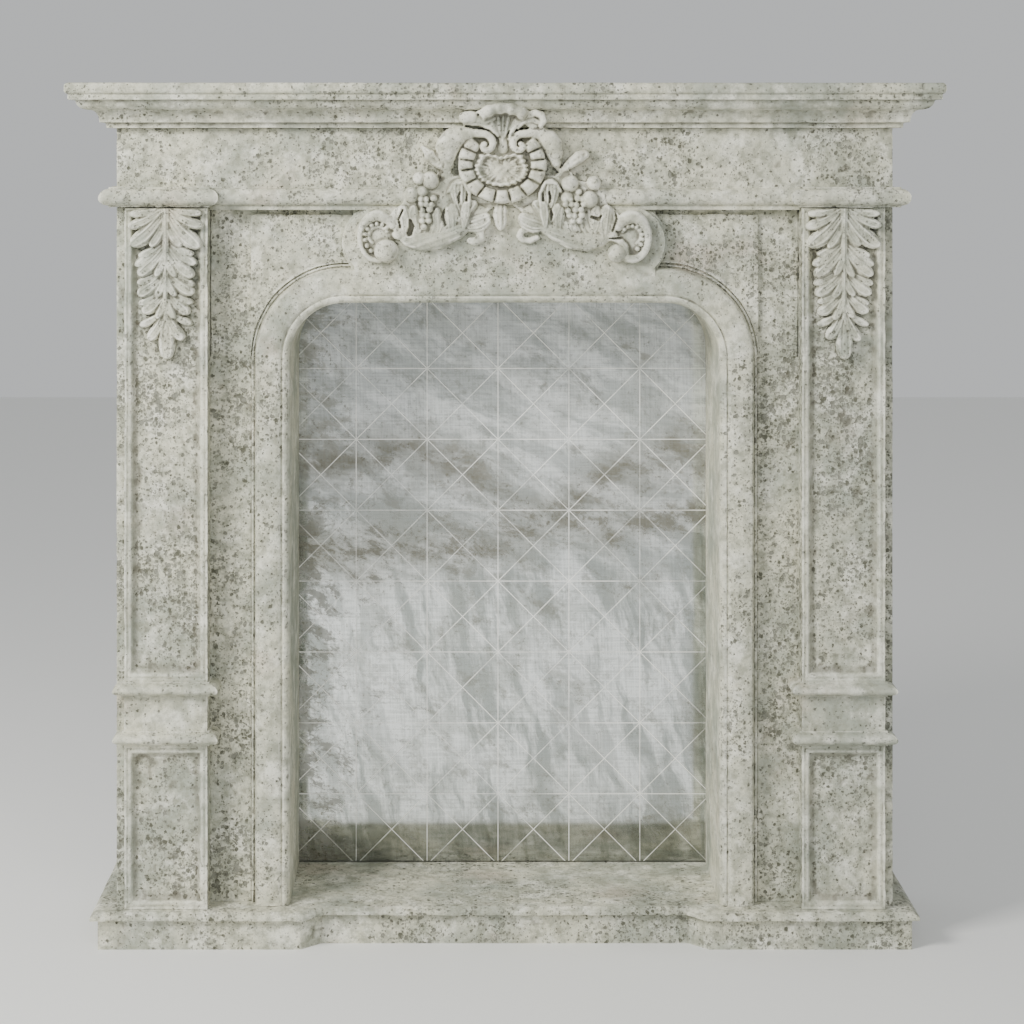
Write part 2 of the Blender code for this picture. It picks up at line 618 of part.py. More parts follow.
def shelf_section():
    """The shelf's edge from its foot up: (overhang, height above the frieze)."""
    z = SHELF_FOOT_HEIGHT
    points = [(SHELF_FOOT_OVERHANG, GAP), (SHELF_FOOT_OVERHANG, z - FALL), (CAVETTO_FOOT, z)]
    for a in np.radians([25, 50, 75, 90]):
        out = CAVETTO_FOOT + (CAVETTO_OVERHANG - CAVETTO_FOOT) * (1 - math.cos(a))
        points.append((out, z + CAVETTO_HEIGHT * math.sin(a)))
    z += CAVETTO_HEIGHT
    for a in np.radians([0, 30, 60, 90]):
        out = OVOLO_FOOT + (OVOLO_OVERHANG - OVOLO_FOOT) * math.sin(a)
        points.append((out, z + FALL + (OVOLO_HEIGHT - FALL) * (1 - math.cos(a))))
    z += OVOLO_HEIGHT
    points += [(SHELF_FILLET_OVERHANG, z + FALL), (SHELF_FILLET_OVERHANG, z + SHELF_FILLET_HEIGHT - FALL)]
    z += SHELF_FILLET_HEIGHT
    centre = SHELF_OVERHANG - SHELF_EDGE_RADIUS
    for level, angles in ((z + SHELF_EDGE_RADIUS, (-90, -45, 0)), (z + SHELF_THICKNESS - SHELF_EDGE_RADIUS, (0, 45, 90))):
        for a in np.radians(angles):
            points.append((centre + SHELF_EDGE_RADIUS * math.cos(a), level + SHELF_EDGE_RADIUS * math.sin(a)))
    return points


def crest_columns():
    """The columns of the carving's grid, and how high its block reaches in each."""
    columns = np.arange(-0.264, 0.2641, CARTOUCHE_STEP) * CARTOUCHE_WIDTH / 0.514
    inside = np.maximum(1 - (columns / CREST_HALF_WIDTH) ** 2, 0)
    return columns, SHELF_Z - 0.002 + CREST_HEIGHT * np.sqrt(inside)


def shelf():
    """The shelf and the cornice under it, cast as one and notched round the crest."""
    rings = []
    for out, up in shelf_section():
        x, y, z = HALF_BODY + out, FACE_Y - out, SHELF_Z + up
        rings.append([(-x, y, z), (x, y, z), (x, BACK_Y, z), (-x, BACK_Y, z)])
    body = loft("mantel_shelf", rings, finish("shelf_stone", STONE_COLOUR, 0.8))
    columns, tops = crest_columns()
    rises = tops > SHELF_Z
    half = columns[rises].max() + CARTOUCHE_STEP
    stretch = 1 + CREST_CLEARANCE / half
    outline = [(x * stretch, z + CREST_CLEARANCE) for x, z in zip(columns[rises], tops[rises])]
    for side, corner in ((-1, 0), (1, len(outline) + 1)):
        outline.insert(corner, (side * half * stretch, SHELF_Z))
    outline = [(-half * stretch, SHELF_Z - BITE)] + outline + [(half * stretch, SHELF_Z - BITE)]
    notch = facing_prism("crest_notch", outline, FACE_Y - SHELF_OVERHANG - BITE, FACE_Y + 0.0206)
    combine(body, notch, "DIFFERENCE")
    return body


def necking_block(side):
    """The necking course where it breaks forward round a pilaster and returns to the wall."""
    base = 0.0
    nose = 0.016
    front = FACE_Y - NECKING_NOSE + nose
    outer = HALF_BODY + NECKING_SIDE_NOSE - nose
    inner = PILASTER_IN - NECKING_INNER_NOSE + nose
    if side > 0:
        path = [(inner, FACE_Y + 2 * BITE), (inner, front), (outer, front), (outer, BACK_Y)]
    else:
        path = [(-outer, BACK_Y), (-outer, front), (-inner, front), (-inner, FACE_Y + 2 * BITE)]
    section = roll_section(NECKING_HEIGHT - GAP, nose, NECKING_FILLET, base, 0.030)
    section = [(out, NECKING_Z + GAP + up) for out, up in section]
    return swept(f"necking_{'left' if side < 0 else 'right'}", path, section)


def spandrel_outline():
    """The raised panel over the arch: its foot lies under the moulding, its top below the necking."""
    side = HALF_OPENING + ARCH_BAND_WIDTH - 0.002
    top = NECKING_Z - SPANDREL_TOP_MARGIN
    return arch_line(0.040) + [(side, SPRING_Z), (side, top), (-side, top), (-side, SPRING_Z)]


def ground_outline(radius, top):
    """The level ground behind the carving, between circles that follow the end volutes."""
    low = OPENING_TOP + 0.040
    centre_z = NECKING_Z - GROUND_CIRCLE_DROP
    start = math.degrees(math.asin(max(-1.0, (OPENING_TOP + ARCH_BAND_WIDTH - 0.004 - centre_z) / radius)))
    end = math.degrees(math.asin(min(0.98, (top - centre_z) / radius)))
    right = arc((GROUND_CIRCLE_X, centre_z), radius, start, end, 10)
    left = [(-x, z) for x, z in reversed(right)]
    foot = right[0][0]
    return [(-foot, low), (foot, low)] + right + left


def lintel():
    """The stone over the niche: arch head, spandrels, necking, frieze, and the carving on them."""
    stone = finish("lintel_stone", STONE_COLOUR, 0.85)
    course = block("lintel", (-HALF_BODY, FACE_Y, NECKING_Z + GAP), (HALF_BODY, BACK_Y, SHELF_Z), stone)

    inner = PILASTER_IN - GAP
    head_outline = arch_line(0.045) + [
        (inner, SPRING_Z + GAP), (inner, NECKING_Z + BITE), (-inner, NECKING_Z + BITE), (-inner, SPRING_Z + GAP),
    ]
    head_outline[0] = (head_outline[0][0], SPRING_Z + GAP)
    head_outline[17] = (head_outline[17][0], SPRING_Z + GAP)
    combine(course, facing_prism("arch_head", head_outline, JAMB_Y, BACK_Y - 0.0002), "UNION")

    depth = BACK_Y - JAMB_Y
    section = band_section() + [(ARCH_BAND_WIDTH, -2 * BITE), (ARCH_BAND_WIDTH - BITE, -depth), (0.0, -depth)]
    rings = []
    for angle in list(np.linspace(180, 90, 12)) + list(np.linspace(90, 0, 12)):
        x0 = -ARCH_X if len(rings) < 12 else ARCH_X
        c, s = math.cos(math.radians(angle)), math.sin(math.radians(angle))
        rings.append([
            (x0 + (OPENING_CORNER + out) * c, JAMB_Y - up, SPRING_Z + GAP + (OPENING_CORNER + out) * s)
            for out, up in section
        ])
    combine(course, loft("arch_moulding", rings), "UNION")

    spandrel = facing_prism("spandrel_panels", spandrel_outline(), JAMB_Y - SPANDREL_RISE, JAMB_Y + BITE)
    combine(course, spandrel, "UNION")
    ledge = ground_outline(GROUND_CIRCLE_RADIUS + 0.004, NECKING_Z + BITE)
    combine(course, facing_prism("ground_ledge", ledge, JAMB_Y - 0.018, JAMB_Y + 2 * BITE), "UNION")
    ground = ground_outline(GROUND_CIRCLE_RADIUS, NECKING_Z + 0.7 * BITE)
    combine(course, facing_prism("carving_ground", ground, FACE_Y - GROUND_RISE, JAMB_Y + BITE * 1.5), "UNION")

    listel = block(
        "listel", (-inner + 0.0005, FACE_Y - 0.0012, NECKING_Z - LISTEL_HEIGHT),
        (inner - 0.0005, JAMB_Y + 1.2 * BITE, NECKING_Z + 1.3 * BITE),
    )
    combine(course, listel, "UNION")
    section = roll_section(NECKING_HEIGHT - 0.002, NECKING_MIDDLE_NOSE + 0.001, 0.002, -0.001, 0.012)
    section = [(out, NECKING_Z + 0.001 + up) for out, up in section]
    path = [(-PILASTER_IN - 0.012, FACE_Y + 0.0), (PILASTER_IN + 0.012, FACE_Y + 0.0)]
    combine(course, swept("middle_necking", path, section), "UNION")
    for side in (-1, 1):
        combine(course, necking_block(side), "UNION")

    cover = HALF_OPENING + MIRROR_COVER + GAP
    rebate = block(
        "mirror_rebate", (-cover, MIRROR_Y - GAP, SPRING_Z - BITE), (cover, BACK_Y + BITE, OPENING_TOP + MIRROR_COVER + GAP),
    )
    combine(course, rebate, "DIFFERENCE")
    combine(course, cartouche_relief(), "UNION")
    return course


def cartouche_relief():
    """The carving as a height over a grid whose top row follows the crest through the shelf."""
    scale = CARTOUCHE_WIDTH / 0.514 / 1000
    eye_z = SHELF_Z - CARTOUCHE_EYE_BELOW_FRIEZE_TOP
    columns, top = crest_columns()
    bottom = eye_z - 0.212 * CARTOUCHE_WIDTH / 0.514
    shares = np.linspace(0, 1, int(round((SHELF_Z + CREST_HEIGHT - bottom) / CARTOUCHE_STEP)))
    xs = np.broadcast_to(columns, (len(shares), len(columns))).copy()
    zs = bottom + shares[:, None] * (top - bottom)[None, :]
    high = cartouche(xs / scale, (zs - eye_z) / scale) * scale
    high = np.maximum(high, -CARTOUCHE_SUNK)
    # Over the frieze the crest's block is filled out to the shelf's own mouldings.
    edge = np.array(shelf_section())
    cornice = np.interp(zs - SHELF_Z, edge[:, 1] + np.arange(len(edge)) * 1e-7, edge[:, 0])
    rises = (zs > SHELF_Z - 0.0005) & (np.abs(xs) < CREST_HALF_WIDTH)
    high = np.where(rises, np.maximum(high, cornice), high)
    relief = grid_relief("cartouche_relief", xs, zs, high, FACE_Y, FACE_Y + 0.020)
    thinned(relief, CARTOUCHE_SHARE)
    return relief


def mirror():
    """The mirror behind the niche, in the rebate cut round the opening."""
    half = HALF_OPENING + MIRROR_COVER
    low = SLAB_HEIGHT + GAP
    high = OPENING_TOP + MIRROR_COVER
    return block("antique_mirror", (-half, MIRROR_Y, low), (half, BACK_Y, high), finish("mirror", MIRROR_COLOUR, 0.2, 0.9))


for old in list(bpy.data.objects):
    bpy.data.objects.remove(old, do_unlink=True)
hearth_slab()
for leg_side in (-1, 1):
    leg(leg_side)
lintel()
shelf()
mirror()
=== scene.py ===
"""Fireplace mantel of weathered cast limestone with an antiqued mirror in its niche.

Every stone piece is worked out as rings of points or as a height over a grid, and is worn and finished by
the same rules. Units are metres, the room is on the -Y side, and the wall is at +Y.
"""

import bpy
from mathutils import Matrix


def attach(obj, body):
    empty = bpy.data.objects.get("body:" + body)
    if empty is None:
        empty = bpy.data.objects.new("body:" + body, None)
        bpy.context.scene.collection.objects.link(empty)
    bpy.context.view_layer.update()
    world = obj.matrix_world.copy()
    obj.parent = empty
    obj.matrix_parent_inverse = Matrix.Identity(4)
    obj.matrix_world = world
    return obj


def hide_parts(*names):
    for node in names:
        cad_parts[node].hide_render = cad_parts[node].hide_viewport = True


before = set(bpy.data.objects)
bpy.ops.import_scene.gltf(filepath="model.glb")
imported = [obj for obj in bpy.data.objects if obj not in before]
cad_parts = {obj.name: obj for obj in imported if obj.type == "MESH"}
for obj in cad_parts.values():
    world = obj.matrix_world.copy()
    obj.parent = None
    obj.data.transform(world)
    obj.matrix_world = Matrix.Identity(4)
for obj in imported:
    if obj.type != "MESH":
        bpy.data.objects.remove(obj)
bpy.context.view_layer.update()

import math

import bmesh
import bpy
import numpy as np

# View: the camera stands where the photograph was taken from, looking straight at the wall. Its shift takes
# the place of a crop, so upright lines stay upright. A pale floor and broad soft lamps make up the studio.
camera_data = bpy.data.cameras.new("camera")
camera_data.lens = 85.5
camera_data.shift_x = 0.0459
camera_data.shift_y = -0.3584
camera = bpy.data.objects.new("camera", camera_data)
camera.location = (-0.0685, -4.3028, 1.380)
camera.rotation_euler = (math.pi / 2, 0, 0)
bpy.context.scene.collection.objects.link(camera)
bpy.context.scene.camera = camera


def soft_lamp(name, place, target, size, watts, colour):
    """A square lamp that faces a target."""
    data = bpy.data.lights.new(name, "AREA")
    data.size = size
    data.energy = watts
    data.color = colour
    lamp = bpy.data.objects.new(name, data)
    lamp.location = place
    aim = np.array(target) - np.array(place)
    lamp.rotation_euler = (
        math.atan2(math.hypot(aim[0], aim[1]), -aim[2]), 0.0, math.atan2(aim[1], aim[0]) - math.pi / 2,
    )
    bpy.context.scene.collection.objects.link(lamp)


soft_lamp("window_lamp", (-2.6, -2.3, 2.7), (0.0, 0.0, 0.80), 1.2, 178, (1.0, 0.985, 0.94))
soft_lamp("room_lamp", (0.6, -5.4, 3.6), (0.0, 0.0, 0.7), 3.0, 95, (0.97, 0.985, 1.0))

world = bpy.data.worlds.new("studio")
world.use_nodes = True
world.node_tree.nodes["Background"].inputs["Color"].default_value = (0.93, 0.95, 0.96, 1.0)
world.node_tree.nodes["Background"].inputs["Strength"].default_value = 0.62
bpy.context.scene.world = world

floor_mesh = bpy.data.meshes.new("floor")
floor_mesh.from_pydata([(-9, -6.5, 0), (9, -6.5, 0), (9, 9, 0), (-9, 9, 0)], [], [(0, 1, 2, 3)])
floor = bpy.data.objects.new("floor", floor_mesh)
bpy.context.scene.collection.objects.link(floor)
floor_finish = bpy.data.materials.new("pale_floor")
floor_finish.use_nodes = True
floor_finish.node_tree.nodes["Principled BSDF"].inputs["Base Color"].default_value = (0.82, 0.82, 0.80, 1.0)
floor_finish.node_tree.nodes["Principled BSDF"].inputs["Roughness"].default_value = 0.7
floor_mesh.materials.append(floor_finish)

# Hearth slab: one cast stone under everything, with a bevelled lip all round and a middle stretch set back
# between splayed ends. It is modelled as rings round its outline, worn, and finished as pitted limestone.
SHELF_OVERHANG = 0.0785
BODY_DEPTH = 0.275
HALF_BODY = 1.343 / 2
BACK_Y = (BODY_DEPTH + SHELF_OVERHANG) / 2
FACE_Y = BACK_Y - BODY_DEPTH
SLAB_HEIGHT = 0.065
SLAB_FRONT = 0.0455
SLAB_SIDE = 0.0395
RECESS_NEAR = 0.346
RECESS_FAR = 0.312
RECESS_DEPTH = 0.033
EASING_ROUNDS = 7
MOST_PULL = 0.0016
PIT_DEPTH = 0.0010


def waves(points, size, seed):
    """Smooth noise from -1 to 1: random values on a lattice of the given size, blended by a smooth step.

    The long numbers only scramble a cell's place and the seed into an even spread of values.
    """
    places = points / size + 512.0
    cell = np.floor(places).astype(np.int64)
    t = places - cell
    t = t * t * (3 - 2 * t)
    total = np.zeros(len(points))
    for corner in range(8):
        step = np.array([corner & 1, corner >> 1 & 1, corner >> 2 & 1])
        x, y, z = (cell + step).T
        mixed = (x * 73856093) ^ (y * 19349663) ^ (z * 83492791) ^ (seed * 2654435761)
        mixed = (mixed ^ (mixed >> 15)) * 2246822519 & 0xFFFFFFFF
        mixed = (mixed ^ (mixed >> 13)) * 3266489917 & 0xFFFFFFFF
        weight = np.prod(np.where(step == 1, t, 1 - t), axis=1)
        total += weight * ((mixed ^ (mixed >> 16)) / 2147483647.5 - 1)
    return total


def graded(path, fine, coarse):
    """The same line with points close together beside its corners and further apart between them.

    Its first two columns are places, and any others are carried along evenly between the corners.
    """
    path = np.asarray(path, dtype=float)
    near = fine * np.array([0, 1, 2, 3.2, 5, 7.5])
    parts = []
    for start, end in zip(path[:-1], path[1:]):
        run = np.linalg.norm((end - start)[:2])
        if run > 2 * near[-1] + fine:
            count = int(np.ceil((run - 2 * near[-1]) / coarse))
            middle = np.linspace(near[-1], run - near[-1], count + 1)[1:-1]
            along = np.concatenate([near, middle, run - near[:0:-1]])
        else:
            along = np.linspace(0, run, int(np.ceil(run / fine)) + 1)[:-1]
        parts.append(start + (end - start) * along[:, None] / run)
    return np.vstack(parts + [path[-1:]])


def mitres(path, closed=False):
    """The step that moves a line outwards by one unit at each of its points, to its right-hand side."""
    path = np.asarray(path, dtype=float)
    along = np.roll(path, -1, axis=0) - path
    along /= np.linalg.norm(along, axis=1)[:, None]
    after = np.stack([along[:, 1], -along[:, 0]], axis=1)
    before = np.roll(after, 1, axis=0)
    if not closed:
        after[-1] = before[-1]
        before[0] = after[0]
    return (before + after) / (1 + np.sum(before * after, axis=1))[:, None]


def stepped(corners, fine, coarse, closed=False):
    """A line through its corners as graded points, each with its offset step: x, y, step x, step y."""
    corners = np.asarray(corners, dtype=float)
    both = np.hstack([corners, mitres(corners, closed)])
    if closed:
        return graded(np.vstack([both, both[:1]]), fine, coarse)[:-1]
    return graded(both, fine, coarse)


def relaxed(rings, rounds):
    """Rings eased along and across: each point goes half way to the chord between its two neighbours."""
    soft = rings.copy()
    for _ in range(rounds):
        for axis in (1, 0):
            before = np.roll(soft, 1, axis=axis)
            after = np.roll(soft, -1, axis=axis)
            near = np.linalg.norm(soft - before, axis=2, keepdims=True)
            far = np.linalg.norm(after - soft, axis=2, keepdims=True)
            eased = 0.5 * (soft + (before * far + after * near) / (near + far + 1e-9))
            if axis == 0:
                eased[[0, -1]] = soft[[0, -1]]
            soft = eased
    return soft


def finished(name, points, faces, material, nodes, slot_name):
    """Puts a closed mesh into the scene, faces outwards, on the one body, in place of its nodes."""
    mesh = bpy.data.meshes.new(name)
    mesh.from_pydata(points.tolist(), [], faces)
    shape = bmesh.new()
    shape.from_mesh(mesh)
    bmesh.ops.recalc_face_normals(shape, faces=shape.faces)
    shape.to_mesh(mesh)
    shape.free()
    mesh.materials.append(material)
    mesh.shade_smooth()
    made = bpy.data.objects.new(name, mesh)
    bpy.context.scene.collection.objects.link(made)
    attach(made, "root")
    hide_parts(*nodes)
    return made


def marked(mesh, name, values):
    """Keeps one number for each point of a mesh, for its material to read."""
    store = mesh.attributes.new(name, "FLOAT", "POINT")
    store.data.foreach_set("value", np.asarray(values, dtype=np.float32))


def weathered(made, pull, pits, seed):
    """Wears a stone mesh. pull is the way from each point to the eased surface, and counts up to 1.6 mm.

    A point goes some way along its pull, further where slow noise is high. The skin then sinks along its
    normal by up to 0.7 mm of slow and quick noise, and by 1 mm in the larger pits. The hollow mark is 0.6
    of the pull along the normal in millimetres, above zero in quirks and below on arrises, and it is more
    in the pits. The wall face and the underside stay as they are.
    """
    mesh = made.data
    count = len(mesh.vertices)
    flat = np.empty(count * 3, dtype=np.float32)
    mesh.vertices.foreach_get("co", flat)
    flat = flat.reshape(-1, 3).astype(float)
    normals = np.empty(count * 3, dtype=np.float32)
    mesh.vertex_normals.foreach_get("vector", normals)
    normals = normals.reshape(-1, 3)
    free = ((flat[:, 1] < BACK_Y - 0.0015) & (flat[:, 2] > 0.0005)).astype(float)
    pull = pull * np.minimum(1, MOST_PULL / (np.linalg.norm(pull, axis=1, keepdims=True) + 1e-9))
    hollow = np.sum(pull * normals, axis=1) * 1000
    bite = 0.50 + 0.55 * waves(flat, 0.030, seed) + 0.75 * np.maximum(waves(flat, 0.008, seed + 1), 0) ** 2
    moved = flat + pull * (np.clip(bite, 0.08, 1.5) * free)[:, None]
    sink = 0.00022 * (1 + waves(flat, 0.055, seed + 2)) + 0.00012 * (1 + waves(flat, 0.009, seed + 3))
    holes = pits * free * np.clip((waves(flat, 0.0085, seed + 4) - 0.42) / 0.2, 0, 1)
    moved -= normals * (sink * free + PIT_DEPTH * holes)[:, None]
    mesh.vertices.foreach_set("co", moved.astype(np.float32).ravel())
    # The hollow mark feeds the stone's painted shade and grime in quirks and pits, and its painted highlight
    # on arrises.
    marked(mesh, "hollow", np.minimum(0.6 * hollow, 0.36) + 0.38 * holes)
    marked(mesh, "pitted", pits * np.ones(count))
    mesh.update()
    mesh.set_sharp_from_angle(angle=math.radians(60))


def capped(rings):
    """The faces of rings joined into a closed skin, each ring to the next, with both ends capped."""
    index = np.arange(rings.shape[0] * rings.shape[1]).reshape(rings.shape[:2])
    beside = np.roll(index, -1, axis=1)
    quads = np.stack([index[:-1], beside[:-1], beside[1:], index[1:]], axis=-1).reshape(-1, 4)
    return quads.tolist() + [index[0][::-1].tolist(), index[-1].tolist()]


def cast(name, rings, material, nodes, slot_name, pits, seed):
    """A closed stone from rings of points, with both ends capped, worn as cast stone wears."""
    rings = np.asarray(rings, dtype=float)
    pull = (relaxed(rings, EASING_ROUNDS) - rings).reshape(-1, 3)
    made = finished(name, rings.reshape(-1, 3), capped(rings), material, nodes, slot_name)
    weathered(made, pull, np.broadcast_to(pits, rings.shape[:2]).reshape(-1), seed)
    return made


def node(tree, kind, inputs=(), **settings):
    """A shader node with its settings and inputs, each given as (name or number, value or socket)."""
    made = tree.nodes.new(kind)
    for key, value in settings.items():
        setattr(made, key, value)
    for key, value in inputs:
        if isinstance(value, bpy.types.NodeSocket):
            tree.links.new(value, made.inputs[key])
        else:
            made.inputs[key].default_value = value
    return made


def sums(tree, operation, *values):
    """The result of a Math node."""
    return node(tree, "ShaderNodeMath", enumerate(values), operation=operation).outputs[0]


def clouds(tree, place, scale, detail, seed, rough=0.55):
    """Noise between 0 and 1, about one feature in 1 / scale metres, different for each seed."""
    inputs = (("Vector", place), ("W", seed), ("Scale", scale), ("Detail", detail), ("Roughness", rough))
    return node(tree, "ShaderNodeTexNoise", inputs, noise_dimensions="4D").outputs[0]


def ramp(tree, value, low, high):
    """A smooth step from 0 at low to 1 at high."""
    inputs = (("Value", value), ("From Min", low), ("From Max", high))
    return node(tree, "ShaderNodeMapRange", inputs, interpolation_type="SMOOTHSTEP").outputs[0]


def blended(tree, share, first, second):
    """One colour laid over another by a share."""
    inputs = ((0, share), (6, first), (7, second))
    return node(tree, "ShaderNodeMix", inputs, data_type="RGBA").outputs[2]


def group(name, inputs, outputs):
    """An empty shader node group with its input and output nodes."""
    tree = bpy.data.node_groups.new(name, "ShaderNodeTree")
    for socket, kind in inputs:
        tree.interface.new_socket(name=socket, in_out="INPUT", socket_type=kind)
    for socket, kind in outputs:
        tree.interface.new_socket(name=socket, in_out="OUTPUT", socket_type=kind)
    return tree, tree.nodes.new("NodeGroupInput"), tree.nodes.new("NodeGroupOutput")


def layered(tree, colour, layers):
    """A colour with others laid over it in turn, each by its share times its weight."""
    for share, weight, over in layers:
        colour = blended(tree, sums(tree, "MULTIPLY", share, weight), colour, over)
    return colour


def shoved(tree, place, noise, reach):
    """Places moved by coloured noise, so that what is drawn at them gets a ragged edge."""
    away = node(tree, "ShaderNodeVectorMath", ((0, noise), (1, reach)), operation="MULTIPLY").outputs[0]
    return node(tree, "ShaderNodeVectorMath", ((0, place), (1, away)), operation="ADD").outputs[0]


def dots(tree, place, scale, crowd, size, soft):
    """Round pits, one to a cell at most: the share of cells that has one is the crowd, and sizes vary."""
    cells = node(tree, "ShaderNodeTexVoronoi", (("Vector", place), ("Scale", scale)))
    chance = node(tree, "ShaderNodeSeparateColor", ((0, cells.outputs["Color"]),)).outputs[0]
    radius = sums(tree, "MULTIPLY", sums(tree, "SUBTRACT", crowd, chance), size)
    return ramp(tree, sums(tree, "SUBTRACT", radius, cells.outputs["Distance"]), -soft, soft)


# Pitted limestone: a pale skin clouded with cool grey, a bloom of lime, faint warm stains and a fine mottle,
# round dark pits of three sizes in drifts, painted shade and grime in the quirks, and arrises paled partly
# by wear and partly as a painted highlight.
PALE = (0.66, 0.645, 0.51, 1.0)
COOL = (0.36, 0.38, 0.315, 1.0)
BLOOM_AND_HIGHLIGHT = (0.86, 0.85, 0.745, 1.0)
STAIN = (0.46, 0.37, 0.29, 1.0)
DULL = (0.235, 0.24, 0.18, 1.0)
PIT = (0.085, 0.085, 0.06, 1.0)
PIT_PALE = (0.22, 0.22, 0.18, 1.0)
SHADE_AND_GRIME = (0.085, 0.075, 0.052, 1.0)
stone_tree, stone_in, stone_out = group(
    "pitted_limestone",
    (("Pits", "NodeSocketFloat"), ("Hollow", "NodeSocketFloat"), ("Warmth", "NodeSocketFloat")),
    (("Color", "NodeSocketColor"), ("Roughness", "NodeSocketFloat"), ("Height", "NodeSocketFloat")),
)
tree = stone_tree
place = tree.nodes.new("ShaderNodeTexCoord").outputs["Object"]
ragged = node(tree, "ShaderNodeTexNoise", (("Vector", place), ("Scale", 210.0), ("Detail", 2.0)))
warped = shoved(tree, place, ragged.outputs[1], (0.006, 0.006, 0.006))
pits_in = stone_in.outputs["Pits"]
hollow_in = stone_in.outputs["Hollow"]
drifts = ramp(tree, clouds(tree, place, 8.0, 4.0, 1.3, 0.6), 0.34, 0.66)
crowd = sums(tree, "MULTIPLY", sums(tree, "MULTIPLY_ADD", drifts, 0.60, 0.44), pits_in)
large = dots(tree, warped, 62.0, sums(tree, "MULTIPLY", crowd, 0.62), 0.62, 0.045)
middle = dots(tree, warped, 125.0, crowd, 0.62, 0.07)
small = sums(tree, "MULTIPLY", dots(tree, warped, 260.0, crowd, 0.70, 0.10), 0.75)
all_pits = sums(tree, "MAXIMUM", large, sums(tree, "MAXIMUM", middle, small))
halo = dots(tree, warped, 62.0, sums(tree, "MULTIPLY", crowd, 0.75), 0.95, 0.20)

cool = ramp(tree, clouds(tree, place, 7.0, 5.0, 0.4, 0.62), 0.36, 0.64)
bloom = ramp(tree, clouds(tree, place, 19.0, 6.0, 3.1, 0.62), 0.47, 0.66)
stain = ramp(tree, clouds(tree, place, 9.0, 5.0, 6.6, 0.6), 0.56, 0.72)
mottle = ramp(tree, clouds(tree, place, 55.0, 7.0, 5.2, 0.72), 0.42, 0.62)
speck = ramp(tree, clouds(tree, place, 330.0, 3.0, 8.2, 0.7), 0.50, 0.66)
pit_colour = blended(tree, ramp(tree, clouds(tree, place, 85.0, 2.0, 7.7), 0.36, 0.60), PIT, PIT_PALE)
patch = ramp(tree, clouds(tree, place, 42.0, 4.0, 9.4), 0.32, 0.60)
# Painted highlight and wear: arrises, where the hollow mark is below zero, are paled in patches towards the
# bloom colour.
arris = ramp(tree, sums(tree, "MULTIPLY", hollow_in, -1.0), 0.25, 1.10)
arris_patches = ramp(tree, clouds(tree, place, 45.0, 3.0, 2.9), 0.36, 0.58)
skin = layered(tree, blended(tree, cool, PALE, COOL), (
    (bloom, 0.70, BLOOM_AND_HIGHLIGHT),
    (stain, sums(tree, "MULTIPLY", stone_in.outputs["Warmth"], 0.6), STAIN),
    (mottle, sums(tree, "MULTIPLY_ADD", pits_in, 0.46, 0.30), DULL),
    (speck, 0.28, DULL),
    (halo, 0.30, DULL),
    (all_pits, 0.92, pit_colour),
    # Painted shade and grime: quirks, creases, carved valleys and pits are darkened by the hollow mark, in
    # uneven patches.
    (ramp(tree, hollow_in, 0.04, 0.60), sums(tree, "MULTIPLY_ADD", patch, 0.38, 0.34), SHADE_AND_GRIME),
    (sums(tree, "MULTIPLY", arris, arris_patches), 0.75, BLOOM_AND_HIGHLIGHT),
))
grain = sums(tree, "MULTIPLY", clouds(tree, place, 420.0, 3.0, 1.1, 0.7), 0.30)
dents = sums(tree, "MULTIPLY", clouds(tree, place, 75.0, 3.0, 5.9, 0.6), 0.70)
tree.links.new(skin, stone_out.inputs["Color"])
tree.links.new(sums(tree, "MULTIPLY_ADD", all_pits, 0.12, 0.80), stone_out.inputs["Roughness"])
tree.links.new(sums(tree, "SUBTRACT", sums(tree, "ADD", grain, dents), all_pits), stone_out.inputs["Height"])


def limestone(name, pits, warmth, relief):
    """Pitted limestone with its own share of pits and stains, and a relief depth in metres."""
    material = bpy.data.materials.new(name)
    material.use_nodes = True
    tree = material.node_tree
    shader = tree.nodes["Principled BSDF"]
    shader.inputs["Specular IOR Level"].default_value = 0.25
    amount = node(tree, "ShaderNodeAttribute", attribute_name="pitted").outputs["Fac"]
    hollow = node(tree, "ShaderNodeAttribute", attribute_name="hollow").outputs["Fac"]
    stone = node(tree, "ShaderNodeGroup", node_tree=stone_tree)
    tree.links.new(sums(tree, "MULTIPLY", amount, pits), stone.inputs["Pits"])
    tree.links.new(hollow, stone.inputs["Hollow"])
    stone.inputs["Warmth"].default_value = warmth
    bumps = (("Strength", 1.0), ("Distance", relief), ("Height", stone.outputs["Height"]))
    bump = node(tree, "ShaderNodeBump", bumps)
    tree.links.new(stone.outputs["Color"], shader.inputs["Base Color"])
    tree.links.new(stone.outputs["Roughness"], shader.inputs["Roughness"])
    tree.links.new(bump.outputs[0], shader.inputs["Normal"])
    return material


def plan_rings(line, profile):
    """Rings round a stepped plan line, one for each (outwards, level) of a profile, with mitred corners."""
    rings = np.empty((len(profile), len(line), 3))
    rings[:, :, :2] = line[None, :, :2] + profile[:, :1, None] * line[None, :, 2:]
    rings[:, :, 2] = profile[:, 1:]
    return rings


slab_half = HALF_BODY + SLAB_SIDE
slab_front = FACE_Y - SLAB_FRONT
slab_recess = slab_front + RECESS_DEPTH
slab_line = stepped([
    (-slab_half, BACK_Y), (-slab_half, slab_front), (-RECESS_NEAR, slab_front), (-RECESS_FAR, slab_recess),
    (RECESS_FAR, slab_recess), (RECESS_NEAR, slab_front), (slab_half, slab_front), (slab_half, BACK_Y),
], 0.0014, 0.0045)
slab_profile = graded([
    (-0.012, 0.0), (-0.012, 0.051), (0.0, 0.0514), (0.0, 0.058),
    (-0.010, SLAB_HEIGHT), (-0.045, SLAB_HEIGHT),
], 0.0013, 0.0045)
slab_rings = plan_rings(slab_line, slab_profile)
hearth_finish = limestone("hearth_limestone", 0.85, 0.75, 0.0016)
cast("hearth_stone", slab_rings, hearth_finish, ["hearth_slab"], "hearth_stone", 1.0, 11)

